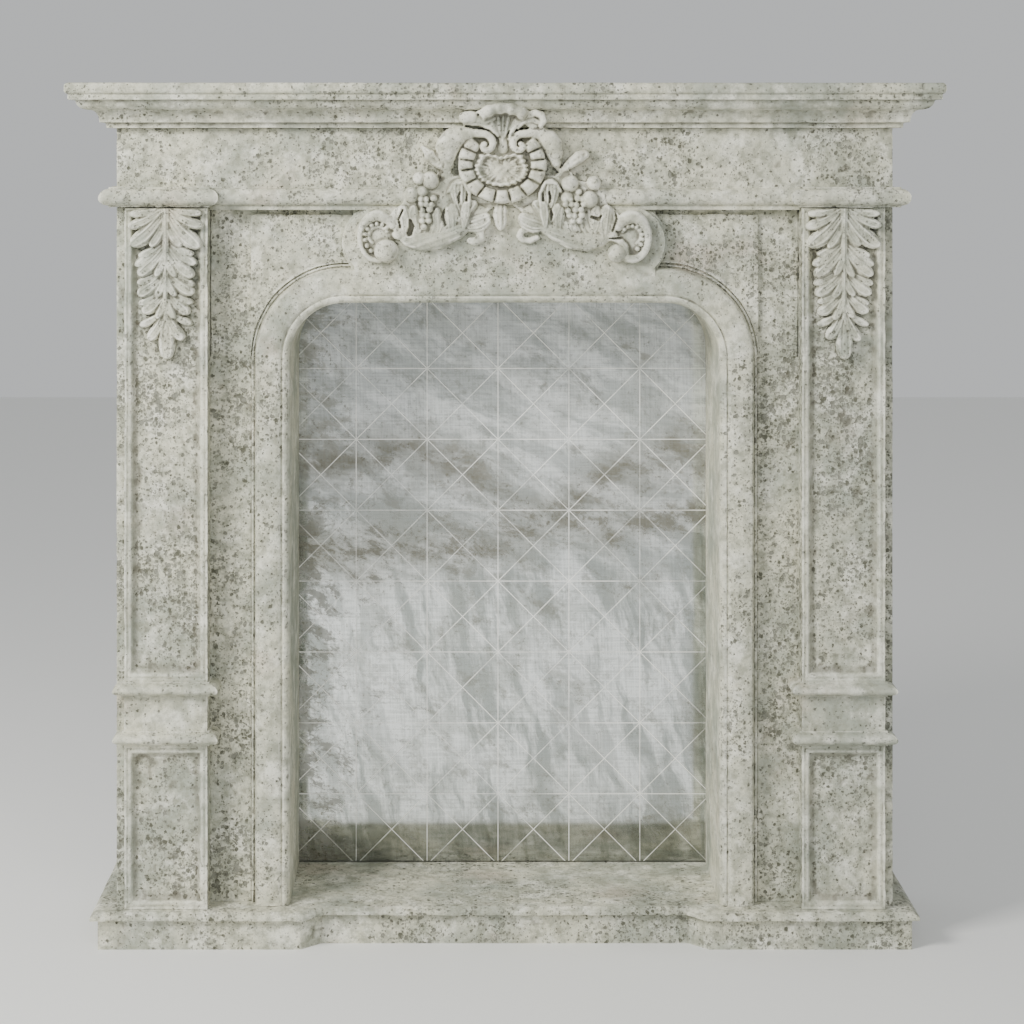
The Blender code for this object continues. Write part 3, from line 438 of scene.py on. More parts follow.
# Legs: each is one casting of a panelled pilaster, a plain strip at its side, and the jamb with the upright
# moulding of the niche. The right leg is worked out and the left one mirrors it. They stand on the slab.
PILASTER_OUT = HALF_BODY - 0.0165
PILASTER_IN = PILASTER_OUT - 0.144
PILASTER_X = (PILASTER_OUT + PILASTER_IN) / 2
PILASTER_Y = FACE_Y - 0.022
JAMB_Y = FACE_Y + 0.025
MIRROR_Y = BACK_Y - 0.020
HALF_OPENING = 0.372
OPENING_TOP = 1.1063
SPRING_Z = 1.0113
LOWER_BAND_Z = 0.3465
BAND_HEIGHT = 0.0265
UPPER_BAND_Z = 0.431
SHAFT_Z = 0.4575
NECKING_Z = 1.272
MIRROR_COVER = 0.026
FRAME_STEPS = np.array([0, 4.2, 4.9, 5.6, 6.8, 9.2, 11.2, 12.6, 13.6, 14.4, 16.0, 18.0, 20.0, 21.5]) / 1000
FRAME_DEPTHS = np.array([0, 0, 1.0, 1.6, 0.7, 0.2, 0.7, 1.9, 3.4, 5.6, 7.4, 9.4, 10.8, 11.0]) / 1000
MOULDING_WIDTH = 0.067
leg_finish = limestone("leg_limestone", 1.0, 0.55, 0.0016)


def moulding_section():
    """The niche's moulding as roll, quirk, band and fillet: (outwards from the opening, forwards)."""
    quarter = np.radians(np.linspace(0, 90, 9))
    roll = [(0.012 - 0.012 * math.cos(a), 0.0156 + 0.0110 * math.sin(a)) for a in quarter]
    quirk = [(0.0124, 0.0247), (0.0132, 0.0238), (0.0140, 0.0245), (0.0150, 0.0262)]
    shares = np.linspace(0, 1, 17)[1:]
    crown = [(0.0150 + 0.0395 * s, 0.0274 + 0.0022 * (1 - (2 * s - 1) ** 2)) for s in shares]
    falling = np.radians(np.linspace(10, 90, 9))
    ovolo = [(0.0545 + 0.0065 * math.sin(a), 0.0274 - 0.0180 * (1 - math.cos(a))) for a in falling]
    fillet = [
        (0.0612, 0.0060), (0.0621, 0.0055), (0.0626, 0.0066), (0.0631, 0.0080), (0.0645, 0.0082),
        (0.0665, 0.0080), (MOULDING_WIDTH, 0.0072), (MOULDING_WIDTH, 0.0),
    ]
    return np.array(roll + quirk + crown + ovolo + fillet)


def rows_between(low, high, spacing, stops):
    """Levels from low to high, evenly spaced, with the given stops put in and near neighbours dropped."""
    even = np.linspace(low, high, int((high - low) / spacing) + 2)
    stops = np.array([stop for stop in stops if low <= stop <= high])
    even = even[np.min(np.abs(even[:, None] - stops[None]), axis=1) > 0.0008]
    return np.unique(np.round(np.concatenate([even, stops, [low, high]]), 6))


def panel_depth(x, z):
    """How deep the sunk panels lie on the pilaster's front: their section by the way to the nearest edge."""
    depth = np.zeros_like(x)
    for low, high in ((SLAB_HEIGHT, LOWER_BAND_Z), (SHAFT_Z, NECKING_Z)):
        margin = np.minimum(np.minimum(x - PILASTER_IN, PILASTER_OUT - x), np.minimum(z - low, high - z))
        depth += np.where(margin > 0, np.interp(margin, FRAME_STEPS, FRAME_DEPTHS), 0)
    return depth


def roll_section(low, height, nose, fillet, base, embed):
    """A band's section from the bottom up: a fillet, a bold roll with its nose low, and a fillet."""
    roll = height - 2 * fillet
    angles = np.radians(np.linspace(-90, 90, 19))
    half = roll * np.where(angles < 0, 0.45, 0.55)
    out = base + (nose - base) * np.cos(angles) + 0.0002
    up = fillet + roll * 0.45 + half * np.sin(angles)
    foot = [(base, 0.0), (base, fillet * 0.5), (base, fillet * 0.95)]
    head = [(base, height - fillet * 0.95), (base, height - fillet * 0.5), (base, height)]
    under = [(embed, 0.0), (embed * 0.3, 0.0)]
    over = [(embed * 0.3, height), (embed, height)]
    return np.array(under + foot + list(zip(out, up)) + head + over) + [0, low]


def swept(line, section):
    """Rings that carry an (outwards, level) section along a stepped plan line, with mitred corners."""
    rings = np.empty((len(line), len(section), 3))
    rings[:, :, :2] = line[:, None, :2] + section[None, :, :1] * line[:, None, 2:]
    rings[:, :, 2] = section[None, :, 1]
    return rings


def sided(rings, side):
    """The same rings on the side asked for, from those on the +X side."""
    return rings * np.array([side, 1, 1])


def risen(line, levels):
    """Rings that repeat a plan line at each level."""
    rings = np.empty((len(levels), len(line), 3))
    rings[:, :, :2] = line
    rings[:, :, 2] = levels[:, None]
    return rings


panel_ends = ((SLAB_HEIGHT, 1), (LOWER_BAND_Z, -1), (SHAFT_Z, 1), (NECKING_Z, -1))
panel_stops = [level + sign * mark for level, sign in panel_ends for mark in FRAME_STEPS]
panel_marks = [PILASTER_IN + mark for mark in FRAME_STEPS] + [PILASTER_OUT - mark for mark in FRAME_STEPS]
front_line = [(x, PILASTER_Y) for x in rows_between(PILASTER_IN, PILASTER_OUT, 0.0036, panel_marks)]
inner_line = graded([
    (PILASTER_IN, BACK_Y), (PILASTER_IN, JAMB_Y), (PILASTER_IN, PILASTER_Y),
], 0.0012, 0.02)[:-1]
outer_line = graded([
    (PILASTER_OUT, PILASTER_Y), (PILASTER_OUT, FACE_Y), (HALF_BODY, FACE_Y), (HALF_BODY, BACK_Y),
], 0.0012, 0.006)
pilaster_levels = rows_between(SLAB_HEIGHT, NECKING_Z, 0.0052, panel_stops)
pilaster_rings = risen(np.vstack([inner_line, front_line, outer_line[1:]]), pilaster_levels)
on_front = np.abs(pilaster_rings[:, :, 1] - PILASTER_Y) < 1e-6
sunk = panel_depth(pilaster_rings[:, :, 0], pilaster_rings[:, :, 2])
pilaster_rings[:, :, 1] += np.where(on_front, sunk, 0)
pilaster_pits = np.where(on_front & (pilaster_rings[:, :, 1] < PILASTER_Y + 0.0105), 0.55, 1.0)

section = moulding_section()
jamb_edge = PILASTER_IN + 0.003
jamb_back = BACK_Y - 0.001
rebate_x = HALF_OPENING + MIRROR_COVER
rebate_y = MIRROR_Y - 0.0003
jamb_line = np.vstack([
    np.stack([HALF_OPENING + section[:, 0], JAMB_Y - section[:, 1]], axis=1),
    graded([(HALF_OPENING + MOULDING_WIDTH, JAMB_Y), (jamb_edge, JAMB_Y)], 0.0014, 0.004)[1:],
    [(jamb_edge, jamb_back), (rebate_x, jamb_back), (rebate_x, rebate_y), (HALF_OPENING, rebate_y)],
    graded([(HALF_OPENING, rebate_y), (HALF_OPENING, JAMB_Y - section[0, 1])], 0.0015, 0.006)[1:-1],
])
jamb_stops = [SPRING_Z - 0.0006, SLAB_HEIGHT + 0.0006]
jamb_rings = risen(jamb_line, rows_between(SLAB_HEIGHT, SPRING_Z + 0.0004, 0.0056, jamb_stops))
off_opening = jamb_line[:, 0] - HALF_OPENING
jamb_pits = np.where(off_opening < 0.002, 0.45, np.where(off_opening < MOULDING_WIDTH - 0.006, 0.78, 1.0))
band_line = stepped([
    (PILASTER_IN, JAMB_Y + 0.004), (PILASTER_IN, PILASTER_Y), (PILASTER_OUT, PILASTER_Y),
    (PILASTER_OUT, FACE_Y + 0.004),
], 0.0016, 0.004)

for side, leg in ((-1, "left_leg"), (1, "right_leg")):
    seed = 20 if side < 0 else 40
    cast(leg + "_pilaster", sided(pilaster_rings, side), leg_finish, [leg], "leg_stone", pilaster_pits, seed)
    cast(leg + "_jamb", sided(jamb_rings, side), leg_finish, [leg], "leg_stone", jamb_pits, seed + 5)
    for stage, level in (("lower", LOWER_BAND_Z), ("upper", UPPER_BAND_Z)):
        band = sided(swept(band_line, roll_section(level, BAND_HEIGHT, 0.019, 0.003, 0.0036, -0.010)), side)
        band_seed = seed + int(level * 30)
        cast(f"{leg}_{stage}_band", band, leg_finish, [leg], "leg_stone", 0.62, band_seed)

# Leaf drops: a hanging acanthus leaf in tiers on the head of each pilaster, cast with the leg. The relief is
# a height over a fine grid: lobes, veins and the double midrib are laid over each other, highest wins.
EMPTY = -1000.0
DROP_WIDTH = 0.132
DROP_HEIGHT = 0.262


def lump(x, z, at, half, turn=0.0, base=0.0, rise=10.0, power=2.0):
    """A rounded lump of the given half sizes, turned in degrees. A higher power makes it squarer."""
    c, s = math.cos(math.radians(turn)), math.sin(math.radians(turn))
    along = np.abs((x - at[0]) * c + (z - at[1]) * s) / half[0]
    across = np.abs(-(x - at[0]) * s + (z - at[1]) * c) / half[1]
    inside = 1.0 - along ** power - across ** power
    return np.where(inside > 0, base + rise * np.maximum(inside, 0) ** (1 / power), EMPTY)


def ribbon(x, z, route, halves, bases, rise=0.7, vein=0.0):
    """A rounded ribbon along a route, whose half width and base change from point to point."""
    best = np.full_like(x, EMPTY)
    for i in range(len(route) - 1):
        (x0, z0), (x1, z1) = route[i], route[i + 1]
        span = (x1 - x0) ** 2 + (z1 - z0) ** 2
        t = np.clip(((x - x0) * (x1 - x0) + (z - z0) * (z1 - z0)) / span, 0, 1)
        away = (x - x0 - t * (x1 - x0)) ** 2 + (z - z0 - t * (z1 - z0)) ** 2
        half = halves[i] + (halves[i + 1] - halves[i]) * t
        base = bases[i] + (bases[i + 1] - bases[i]) * t
        inside = 1.0 - away / half ** 2
        groove = vein * np.exp(-away / (0.22 * half) ** 2)
        crown = base + rise * half * np.sqrt(np.maximum(inside, 0)) - groove
        best = np.maximum(best, np.where(inside > 0, crown, EMPTY))
    return best


def lobe(x, z, root, tip, width, base, rise, flutes=2.0, swell=0.62, bend=0.0, foot=0.30):
    """A leaf lobe: it widens from its root, rounds off at its tip, and is fluted along its length.

    With c along it and t across it, half = width * (foot + (1 - foot) (c / swell)^0.8) * (1 - c^7)^0.5, the
    face is rise * (1 - (t / half)^2.6)^0.5 times a slow swell, and the flutes are a cosine of t / half.
    """
    run = math.hypot(tip[0] - root[0], tip[1] - root[1])
    ux, uz = (tip[0] - root[0]) / run, (tip[1] - root[1]) / run
    s = ((x - root[0]) * ux + (z - root[1]) * uz) / run
    t = -(x - root[0]) * uz + (z - root[1]) * ux
    t = t - bend * run * np.sin(np.clip(s, 0, 1) * math.pi)
    c = np.clip(s, 1e-6, 1)
    widening = foot + (1 - foot) * np.minimum(c / swell, 1) ** 0.8
    half = width * widening * np.sqrt(np.maximum(1 - c ** 7, 0))
    across = np.abs(t) / np.maximum(half, 0.05)
    inside = (s > -0.02) & (s < 1) & (across < 1)
    shape = 0.45 + 0.55 * np.sin(np.minimum(c / 0.8, 1.0) * math.pi / 2)
    crown = shape * (1 - np.minimum(across, 1) ** 2.6) ** 0.5
    midrib = -0.26 * np.exp(-((across / 0.15) ** 2)) * (1 - 0.5 * c)
    flute = 0.17 * np.cos(2 * math.pi * flutes * across) * (1 - 0.5 * c)
    return np.where(inside, base + rise * (crown + midrib + flute), EMPTY)


def mirrored(side, *places):
    """The same places on the side asked for, from their measures on the +X side."""
    return [(side * px, pz) for px, pz in places]


def laid_over(x):
    """A height field that starts empty, and a function that lays shapes over it."""
    high = np.full_like(x, EMPTY)

    def lay(shape):
        """Lays a shape over the field: the higher of the two stays."""
        np.maximum(high, shape, out=high)

    return high, lay


def leaf_drop(x, z, side):
    """How far the hanging leaf stands in front of the pilaster, in millimetres, from its top down."""
    high, lay = laid_over(x)
    lay(ribbon(x, z, [(0, -4), (0, -120), (0, -200)], [40, 34, 20], [-6, -7, -8], 0.12))
    lay(lobe(x, z, (1, -186), (2, -261), 15.5, -4, 13, 1.5, 0.5))
    tiers = (
        (2, -176, 44, -202, 8, -6, 9), (2, -180, 29, -228, 12, -5, 12),
        (2, -140, 46, -165, 8, -6, 9), (2, -145, 41, -182, 12, -5, 11), (0, -146, 15, -191, 9, -4, 11),
        (2, -104, 51, -132, 9, -5, 9), (2, -111, 47, -150, 12.5, -4, 11), (0, -112, 16, -153, 9, -3, 11),
        (3, -57, 46, -82, 8, -3, 9), (3, -62, 52, -99, 10, -3, 10), (2, -68, 49, -118, 13, -2, 11),
        (0, -70, 17, -118, 9, -1, 10),
        (0, -16, 26, -67, 10.5, 0, 10), (5, 0, 62, -10, 8.5, 1, 10), (6, -4, 65, -33, 10.5, 2, 11),
        (3, -8, 61, -67, 16, 1, 13),
    )
    for flank in (-1, 1):
        for root_x, root_z, tip_x, tip_z, width, base, rise in tiers:
            drift = 1.7 * math.sin(root_z * 0.37 + tip_x * 0.21 + flank * 1.7 + side)
            root, tip = (flank * root_x, root_z), (min(flank * tip_x + drift, 65), tip_z + drift)
            lay(lobe(x, z, root, tip, width, base, rise, 2.0, 0.72, flank * -0.06, 0.45))
    width = 6.5 - 2.5 * np.clip(-z / 190, 0, 1)
    inside = (np.abs(x) < width) & (z < 0) & (z > -196)
    grooves = 1.8 * np.exp(-(((np.abs(x) - 0.42 * width) / 1.0) ** 2))
    stem = 6.5 * np.sqrt(np.maximum(1 - (x / width) ** 2, 0)) - grooves
    tapered = stem * np.clip((196 + z) / 40, 0, 1) ** 0.5
    lay(np.where(inside, tapered + 2 + 4 * np.clip(z / 60 + 1, 0, 1), EMPTY))
    return high


def blurred(field, reach):
    """A height field eased by a bell-shaped weight over a few grid steps, along columns and then rows."""
    steps = np.arange(-int(3 * reach), int(3 * reach) + 1)
    weights = np.exp(-0.5 * (steps / reach) ** 2)
    weights /= weights.sum()
    for axis in (0, 1):
        pads = [(0, 0), (0, 0)]
        pads[axis] = (len(steps) // 2, len(steps) // 2)
        wide = np.pad(field, pads, mode="edge")
        size = field.shape[axis]
        field = sum(w * np.take(wide, range(i, i + size), axis=axis) for i, w in enumerate(weights))
    return field


def relief(name, xs, zs, high, front, back, step, material, nodes, slot_name, pits, seed):
    """A closed block whose face is a height over a grid, softened as old carving is.

    The face is eased a little, roughened by noise, and joined round its rim to a flat back. The hollow mark
    says how far the face lies below its own average, over a near and over a wider ring.
    """
    flat = np.stack([xs, 0 * xs, zs], axis=-1).reshape(-1, 3)
    eased = blurred(high, 0.00085 / step)
    rough = 0.00035 * waves(flat, 0.012, seed) + 0.0002 * waves(flat, 0.0045, seed + 1)
    eased = eased + rough.reshape(eased.shape)
    # The hollow mark darkens the carving's valleys as painted shade and grime, and pales its crests as
    # painted highlight.
    near = blurred(eased, 0.0020 / step) - eased
    wide = blurred(eased, 0.0060 / step) - eased
    hollow = 1000 * (0.50 * near + 0.14 * wide)
    rows, columns = xs.shape
    face = np.stack([xs, front - eased, zs], axis=-1).reshape(-1, 3)
    index = np.arange(rows * columns).reshape(rows, columns)
    rim = np.concatenate([index[0, :-1], index[:-1, -1], index[-1, :0:-1], index[:0:-1, 0]])
    behind = face[rim] * [1, 0, 1] + [0, back, 0]
    quads = np.stack([index[:-1, :-1], index[:-1, 1:], index[1:, 1:], index[1:, :-1]], axis=-1)
    under = np.arange(len(rim)) + len(face)
    walls = np.stack([rim, np.roll(rim, -1), np.roll(under, -1), under], axis=-1)
    faces = quads.reshape(-1, 4).tolist() + walls.tolist() + [under.tolist()]
    made = finished(name, np.vstack([face, behind]), faces, material, nodes, slot_name)
    marked(made.data, "hollow", np.concatenate([hollow.ravel(), np.zeros(len(rim))]))
    marked(made.data, "pitted", pits * np.ones(len(face) + len(rim)))
    made.data.set_sharp_from_angle(angle=math.radians(75))
    return made


drop_step = 0.0011
drop_columns = np.arange(-DROP_WIDTH / 2, DROP_WIDTH / 2 + 1e-6, drop_step)
drop_x, drop_z = np.meshgrid(drop_columns, np.arange(-DROP_HEIGHT, -0.001, drop_step))
for side, leg in ((-1, "left_leg"), (1, "right_leg")):
    high = np.maximum(leaf_drop(drop_x * 1000, drop_z * 1000, side), -15) / 1000
    relief(
        leg + "_leaf_drop", side * PILASTER_X + drop_x, NECKING_Z + drop_z, high,
        PILASTER_Y, PILASTER_Y + 0.020, drop_step, leg_finish, [leg], "leg_stone", 0.70, 60 + side,
    )

# Lintel: one casting over the niche, with the arched head of the moulding, raised spandrel panels, a level
# ground behind the carving, the necking course and the plain frieze. It rests on both legs.
FRIEZE_Z = 1.3086
SHELF_Z = 1.409
ARCH_RADIUS = 0.095
ARCH_X = HALF_OPENING - ARCH_RADIUS
lintel_finish = limestone("lintel_limestone", 0.9, 0.8, 0.0016)


def arch_line(offset, fine=0.004, coarse=0.0045):
    """The niche's head seen from the front, moved outwards: two quarter circles and the run between."""
    radius = ARCH_RADIUS + offset
    turn = np.radians(np.linspace(180, 90, int(radius * math.pi / 2 / fine) + 2))
    left = np.stack([-ARCH_X + radius * np.cos(turn), SPRING_Z + radius * np.sin(turn)], axis=1)
    between = np.linspace(-ARCH_X, ARCH_X, int(2 * ARCH_X / coarse) + 2)[1:-1]
    top = np.stack([between, np.full_like(between, SPRING_Z + radius)], axis=1)
    right = left[::-1] * [-1, 1]
    return np.vstack([left, top, right])


def facing_rings(corners, profile, fine, coarse):
    """Rings from a closed outline seen from the front, one for each (inwards, depth) of a profile."""
    line = stepped(corners, fine, coarse, closed=True)
    after = np.roll(line, -1, axis=0)
    inwards = -1 if np.sum(line[:, 0] * after[:, 1] - after[:, 0] * line[:, 1]) > 0 else 1
    rings = np.empty((len(profile), len(line), 3))
    moved = line[None, :, :2] + profile[:, :1, None] * line[None, :, 2:] * inwards
    rings[:, :, 0] = moved[:, :, 0]
    rings[:, :, 1] = profile[:, 1:]
    rings[:, :, 2] = moved[:, :, 1]
    return rings


def raised(name, corners, front, back, pits, seed):
    """A raised part of the lintel: an outline carried forward, with rings close together at its arris."""
    down = [(0, front + step) for step in (0.0050, 0.0028, 0.0014, 0.0)]
    inwards = [(step, front) for step in (0.0013, 0.0027, 0.0045, 0.0075, 0.012)]
    rings = facing_rings(corners, np.array([(0, back)] + down + inwards), 0.0016, 0.005)
    cast(name, rings, lintel_finish, ["lintel"], "lintel_stone", pits, seed)


def around_arch(name, inner, side, top, front, back, pits, seed):
    """A plate round the niche's head: straight rows from beside the moulding out to a square frame.

    Each half of a quarter circle answers to one side of the frame's corner, so that a row ends in it.
    """
    foot = arch_line(inner)
    angle = np.degrees(np.arctan2(foot[:, 1] - SPRING_Z, np.abs(foot[:, 0]) - ARCH_X))
    in_arc = np.abs(foot[:, 0]) > ARCH_X + 1e-6
    rising = np.clip(angle / 45.0, 0, 1)
    across = np.where(in_arc, side + (ARCH_X - side) * np.clip(angle / 45.0 - 1, 0, 1), np.abs(foot[:, 0]))
    frame_line = np.stack([
        np.sign(foot[:, 0]) * across, np.where(in_arc, SPRING_Z + (top - SPRING_Z) * rising, top),
    ], axis=1)
    reach = np.linalg.norm(frame_line - foot, axis=1)[:, None]
    near = np.array([9.0, 6.2, 4.2, 2.6, 1.3, 0.0]) / 1000
    share = np.hstack([(1 - near[0] / reach) * np.linspace(0, 1, 30)[None], 1 - near[None, 1:] / reach])
    face = foot[:, None] + (frame_line - foot)[:, None] * share[:, :, None]
    thick = back - front
    depths = np.array([0.0013, 0.0026, min(0.006, thick * 0.7), thick]) + front

    def at_depth(line, depth):
        """Places on the front view, as points at one depth."""
        return np.stack([line[..., 0], np.full(line.shape[:-1], depth), line[..., 1]], axis=-1)

    edge = [at_depth(frame_line, depth)[:, None] for depth in depths]
    rings = np.concatenate([at_depth(face, front)] + edge + [at_depth(foot, back)[:, None]], axis=1)
    cast(name, rings, lintel_finish, ["lintel"], "lintel_stone", pits, seed)


arch = arch_line(0.0)
arch[[0, -1], 1] -= 0.0010
arch_steps = mitres(arch)
if arch_steps[len(arch) // 2][1] < 0:
    arch_steps = -arch_steps
arch_back = JAMB_Y - BACK_Y + 0.001
arch_rebate = JAMB_Y - MIRROR_Y
arch_section = np.vstack([
    section, [(MOULDING_WIDTH, -0.010), (0.0446, -0.012), (0.0446, arch_back), (MIRROR_COVER, arch_back)],
    [(MIRROR_COVER, arch_rebate), (0.0, arch_rebate)],
    graded([(0.0, arch_rebate), (0.0, section[0, 1])], 0.0015, 0.006)[1:-1],
])
arch_rings = np.empty((len(arch), len(arch_section), 3))
arch_rings[:, :, 0] = arch[:, :1] + arch_section[None, :, 0] * arch_steps[:, :1]
arch_rings[:, :, 1] = JAMB_Y - arch_section[None, :, 1]
arch_rings[:, :, 2] = arch[:, 1:] + arch_section[None, :, 0] * arch_steps[:, 1:]
arch_out = arch_section[:, 0]
arch_pits = np.where(arch_out < 0.002, 0.35, np.where(arch_out < MOULDING_WIDTH - 0.006, 0.72, 1.0))
cast("arch_moulding", arch_rings, lintel_finish, ["lintel"], "lintel_stone", arch_pits, 71)

head_side = PILASTER_IN - 0.0003
panel_foot = MOULDING_WIDTH + 0.0012
panel_side = HALF_OPENING + MOULDING_WIDTH + 0.002
panel_front = JAMB_Y - 0.007
inside_jamb = JAMB_Y + 0.004
around_arch("lintel_head", 0.045, head_side, NECKING_Z + 0.01, JAMB_Y, BACK_Y - 0.001, 1.0, 73)
around_arch(
    "spandrel_panels", panel_foot, panel_side, NECKING_Z - 0.012, panel_front, inside_jamb, 0.95, 75,
)


def ground_outline(radius, top):
    """The ground behind the carving: a level foot on the arch, and sides bowed round the end volutes."""
    centre_z = NECKING_Z - 0.060
    low = OPENING_TOP + MOULDING_WIDTH - 0.004
    start = math.asin(max(-1.0, (low - centre_z) / radius))
    end = math.asin(min(0.98, (top - centre_z) / radius))
    turn = np.linspace(start, end, 44)
    right = np.stack([0.216 + radius * np.cos(turn), centre_z + radius * np.sin(turn)], axis=1)
    left = right[::-1] * [-1, 1]
    level = OPENING_TOP + 0.04
    return np.vstack([right, left, [(left[-1][0], level), (right[0][0], level)]])


for name, bow, front, pits, seed in (
    ("carving_ledge", 0.066, JAMB_Y - 0.018, 0.5, 77), ("carving_ground", 0.0615, FACE_Y - 0.0045, 0.75, 79),
):
    raised(name, ground_outline(bow, NECKING_Z + 0.005), front, inside_jamb, pits, seed)

frieze_line = stepped([
    (-HALF_BODY, BACK_Y), (-HALF_BODY, FACE_Y), (HALF_BODY, FACE_Y), (HALF_BODY, BACK_Y),
], 0.0014, 0.0042)
frieze_levels = rows_between(NECKING_Z, SHELF_Z, 0.0042, [FRIEZE_Z])
frieze_profile = np.stack([0 * frieze_levels, frieze_levels], axis=1)
cast("frieze", plan_rings(frieze_line, frieze_profile), lintel_finish, ["lintel"], "lintel_stone", 1.0, 81)

listel_line = stepped([(-head_side + 0.0005, FACE_Y), (head_side - 0.0005, FACE_Y)], 0.002, 0.005)
listel_section = graded([
    (-0.030, NECKING_Z - 0.0045), (0.0012, NECKING_Z - 0.0045),
    (0.0012, NECKING_Z + 0.004), (-0.030, NECKING_Z + 0.004),
], 0.001, 0.01)
cast("listel", swept(listel_line, listel_section), lintel_finish, ["lintel"], "lintel_stone", 0.5, 83)
necking_height = FRIEZE_Z - NECKING_Z
middle_line = stepped([(-PILASTER_IN - 0.012, FACE_Y), (PILASTER_IN + 0.012, FACE_Y)], 0.003, 0.0042)
middle = roll_section(NECKING_Z + 0.001, necking_height - 0.002, 0.014, 0.002, 0.0004, -0.012)
cast("middle_necking", swept(middle_line, middle), lintel_finish, ["lintel"], "lintel_stone", 0.85, 85)
necking_front = FACE_Y - 0.0285
necking_side = HALF_BODY + 0.0095
necking_line = stepped([
    (PILASTER_IN - 0.004, FACE_Y + 0.010), (PILASTER_IN - 0.004, necking_front),
    (necking_side, necking_front), (necking_side, BACK_Y - 0.0006),
], 0.0016, 0.0042)
necking = swept(necking_line, roll_section(NECKING_Z, necking_height, 0.016, 0.0034, 0.0004, -0.030))
for side, word in ((-1, "left"), (1, "right")):
    cast(word + "_necking", sided(necking, side), lintel_finish, ["lintel"], "lintel_stone", 0.85, 88 + side)

# Cartouche: the carving in the middle of the lintel, cast with it. A ribbed crest rises into the shelf over
# two small volutes and a ringed shell, and a leafy scroll with fruit runs out each way to a beaded volute.
CARVING_STEP = 0.00125
EYE_Z = SHELF_Z - 0.029


def turns(centre, side, start, end, near, far, count, power=1.0):
    """A route that winds about a centre, with angles in degrees as seen on the +X side."""
    share = np.linspace(0, 1, count)
    angle = np.radians(start + (end - start) * share)
    radius = near + (far - near) * share ** power
    return list(zip(centre[0] + side * radius * np.cos(angle), centre[1] + radius * np.sin(angle)))


def crest(x, z, lay):
    """A hollow fan of ribs on a stem, under a thick scalloped lip, with a rolled leaf at each side."""
    radius = np.hypot(x + 3, z + 4)
    turn = np.degrees(np.arctan2(x + 3, z + 4))
    rib = np.cos(2 * math.pi * (np.abs(turn) / 10.0) ** 0.78)
    scallop = np.cos(2 * math.pi * (turn + 5) / 17.0)
    reach = 79.5 - 0.0016 * turn ** 2
    spread = 8.0 + 31.0 * np.clip((radius - 16) / 46, 0, 1) ** 0.8
    outward = np.clip(radius / 60, 0, 1)
    web = 27 + 12 * outward ** 1.4 + (1.0 + 1.5 * outward) * rib + 5 * (np.abs(turn) / 40) ** 2
    inside = (np.abs(turn) < spread) & (radius < reach - 8) & (z > -4)
    lay(np.where(inside, web, EMPTY))
    across = (radius - (reach - 11.0)) / (11.0 + 0.9 * scallop)
    ends = 1 - (np.abs(turn) / 37.0) ** 4
    roll = np.sqrt(np.maximum(1 - across ** 2, 0)) ** 0.8 * np.sqrt(np.maximum(ends, 0))
    lay(np.where(roll > 0, 43 + (25 + 1.5 * scallop) * roll, EMPTY))
    lay(ribbon(x, z, [(-3, 26), (-3, 6), (-3, -6)], [10, 7.5, 10], [20, 22, 19], 0.6))
    lay(lump(x, z, (-63, 48), (17.5, 11.5), 8, 38, 14, 2.4))
    lay(ribbon(x, z, [(-46, 44), (-34, 40), (-20, 46)], [6, 5, 5], [40, 38, 38], 0.9))
    lay(ribbon(x, z, [(-12, 18), (-24, 30), (-44, 37), (-70, 37)], [4, 5.5, 5, 3], [30, 34, 36, 34], 0.8))
    hook = [(9, 10), (13, 26), (24, 42), (38, 52), (52, 56), (63, 52), (67, 42), (62, 34)]
    lay(ribbon(x, z, hook, [4, 4.5, 5, 6, 7, 7, 6.5, 5], [30, 34, 38, 42, 44, 44, 42, 38], 0.8))
    lay(ribbon(x, z, [(22, 30), (34, 41), (48, 44), (56, 40)], [3.5, 4.5, 5, 4], [34, 37, 38, 38], 0.9))
    lay(lump(x, z, (48, 40), (15, 12), 0, 30, 6))


def whorl(x, z, lay, side):
    """A small volute beside the stem, whose arm sweeps out, swells, and falls to a point."""
    if side < 0:
        eye = (-34, -1)
        arm = (
            (52, 21, 8), (73, 18, 16), (90, 9, 21), (99, -4, 21),
            (101, -17, 18), (99, -33, 12), (97, -46, 3),
        )
    else:
        eye = (27, -1)
        arm = (
            (45, 21, 8), (64, 19, 13), (75, 10, 18), (82, 0, 18),
            (86, -14, 15), (89, -30, 10), (93, -44, 3),
        )
    route = turns(eye, side, 455, 90, 2.5, 20, 26, 2.0) + mirrored(side, *[stop[:2] for stop in arm])
    halves = list(np.linspace(4.2, 7.2, 26)) + [stop[2] for stop in arm]
    bases = list(np.linspace(37, 30, 26)) + [26, 20, 17, 15, 13, 11, 8]
    lay(ribbon(x, z, route, halves, bases, 0.85))


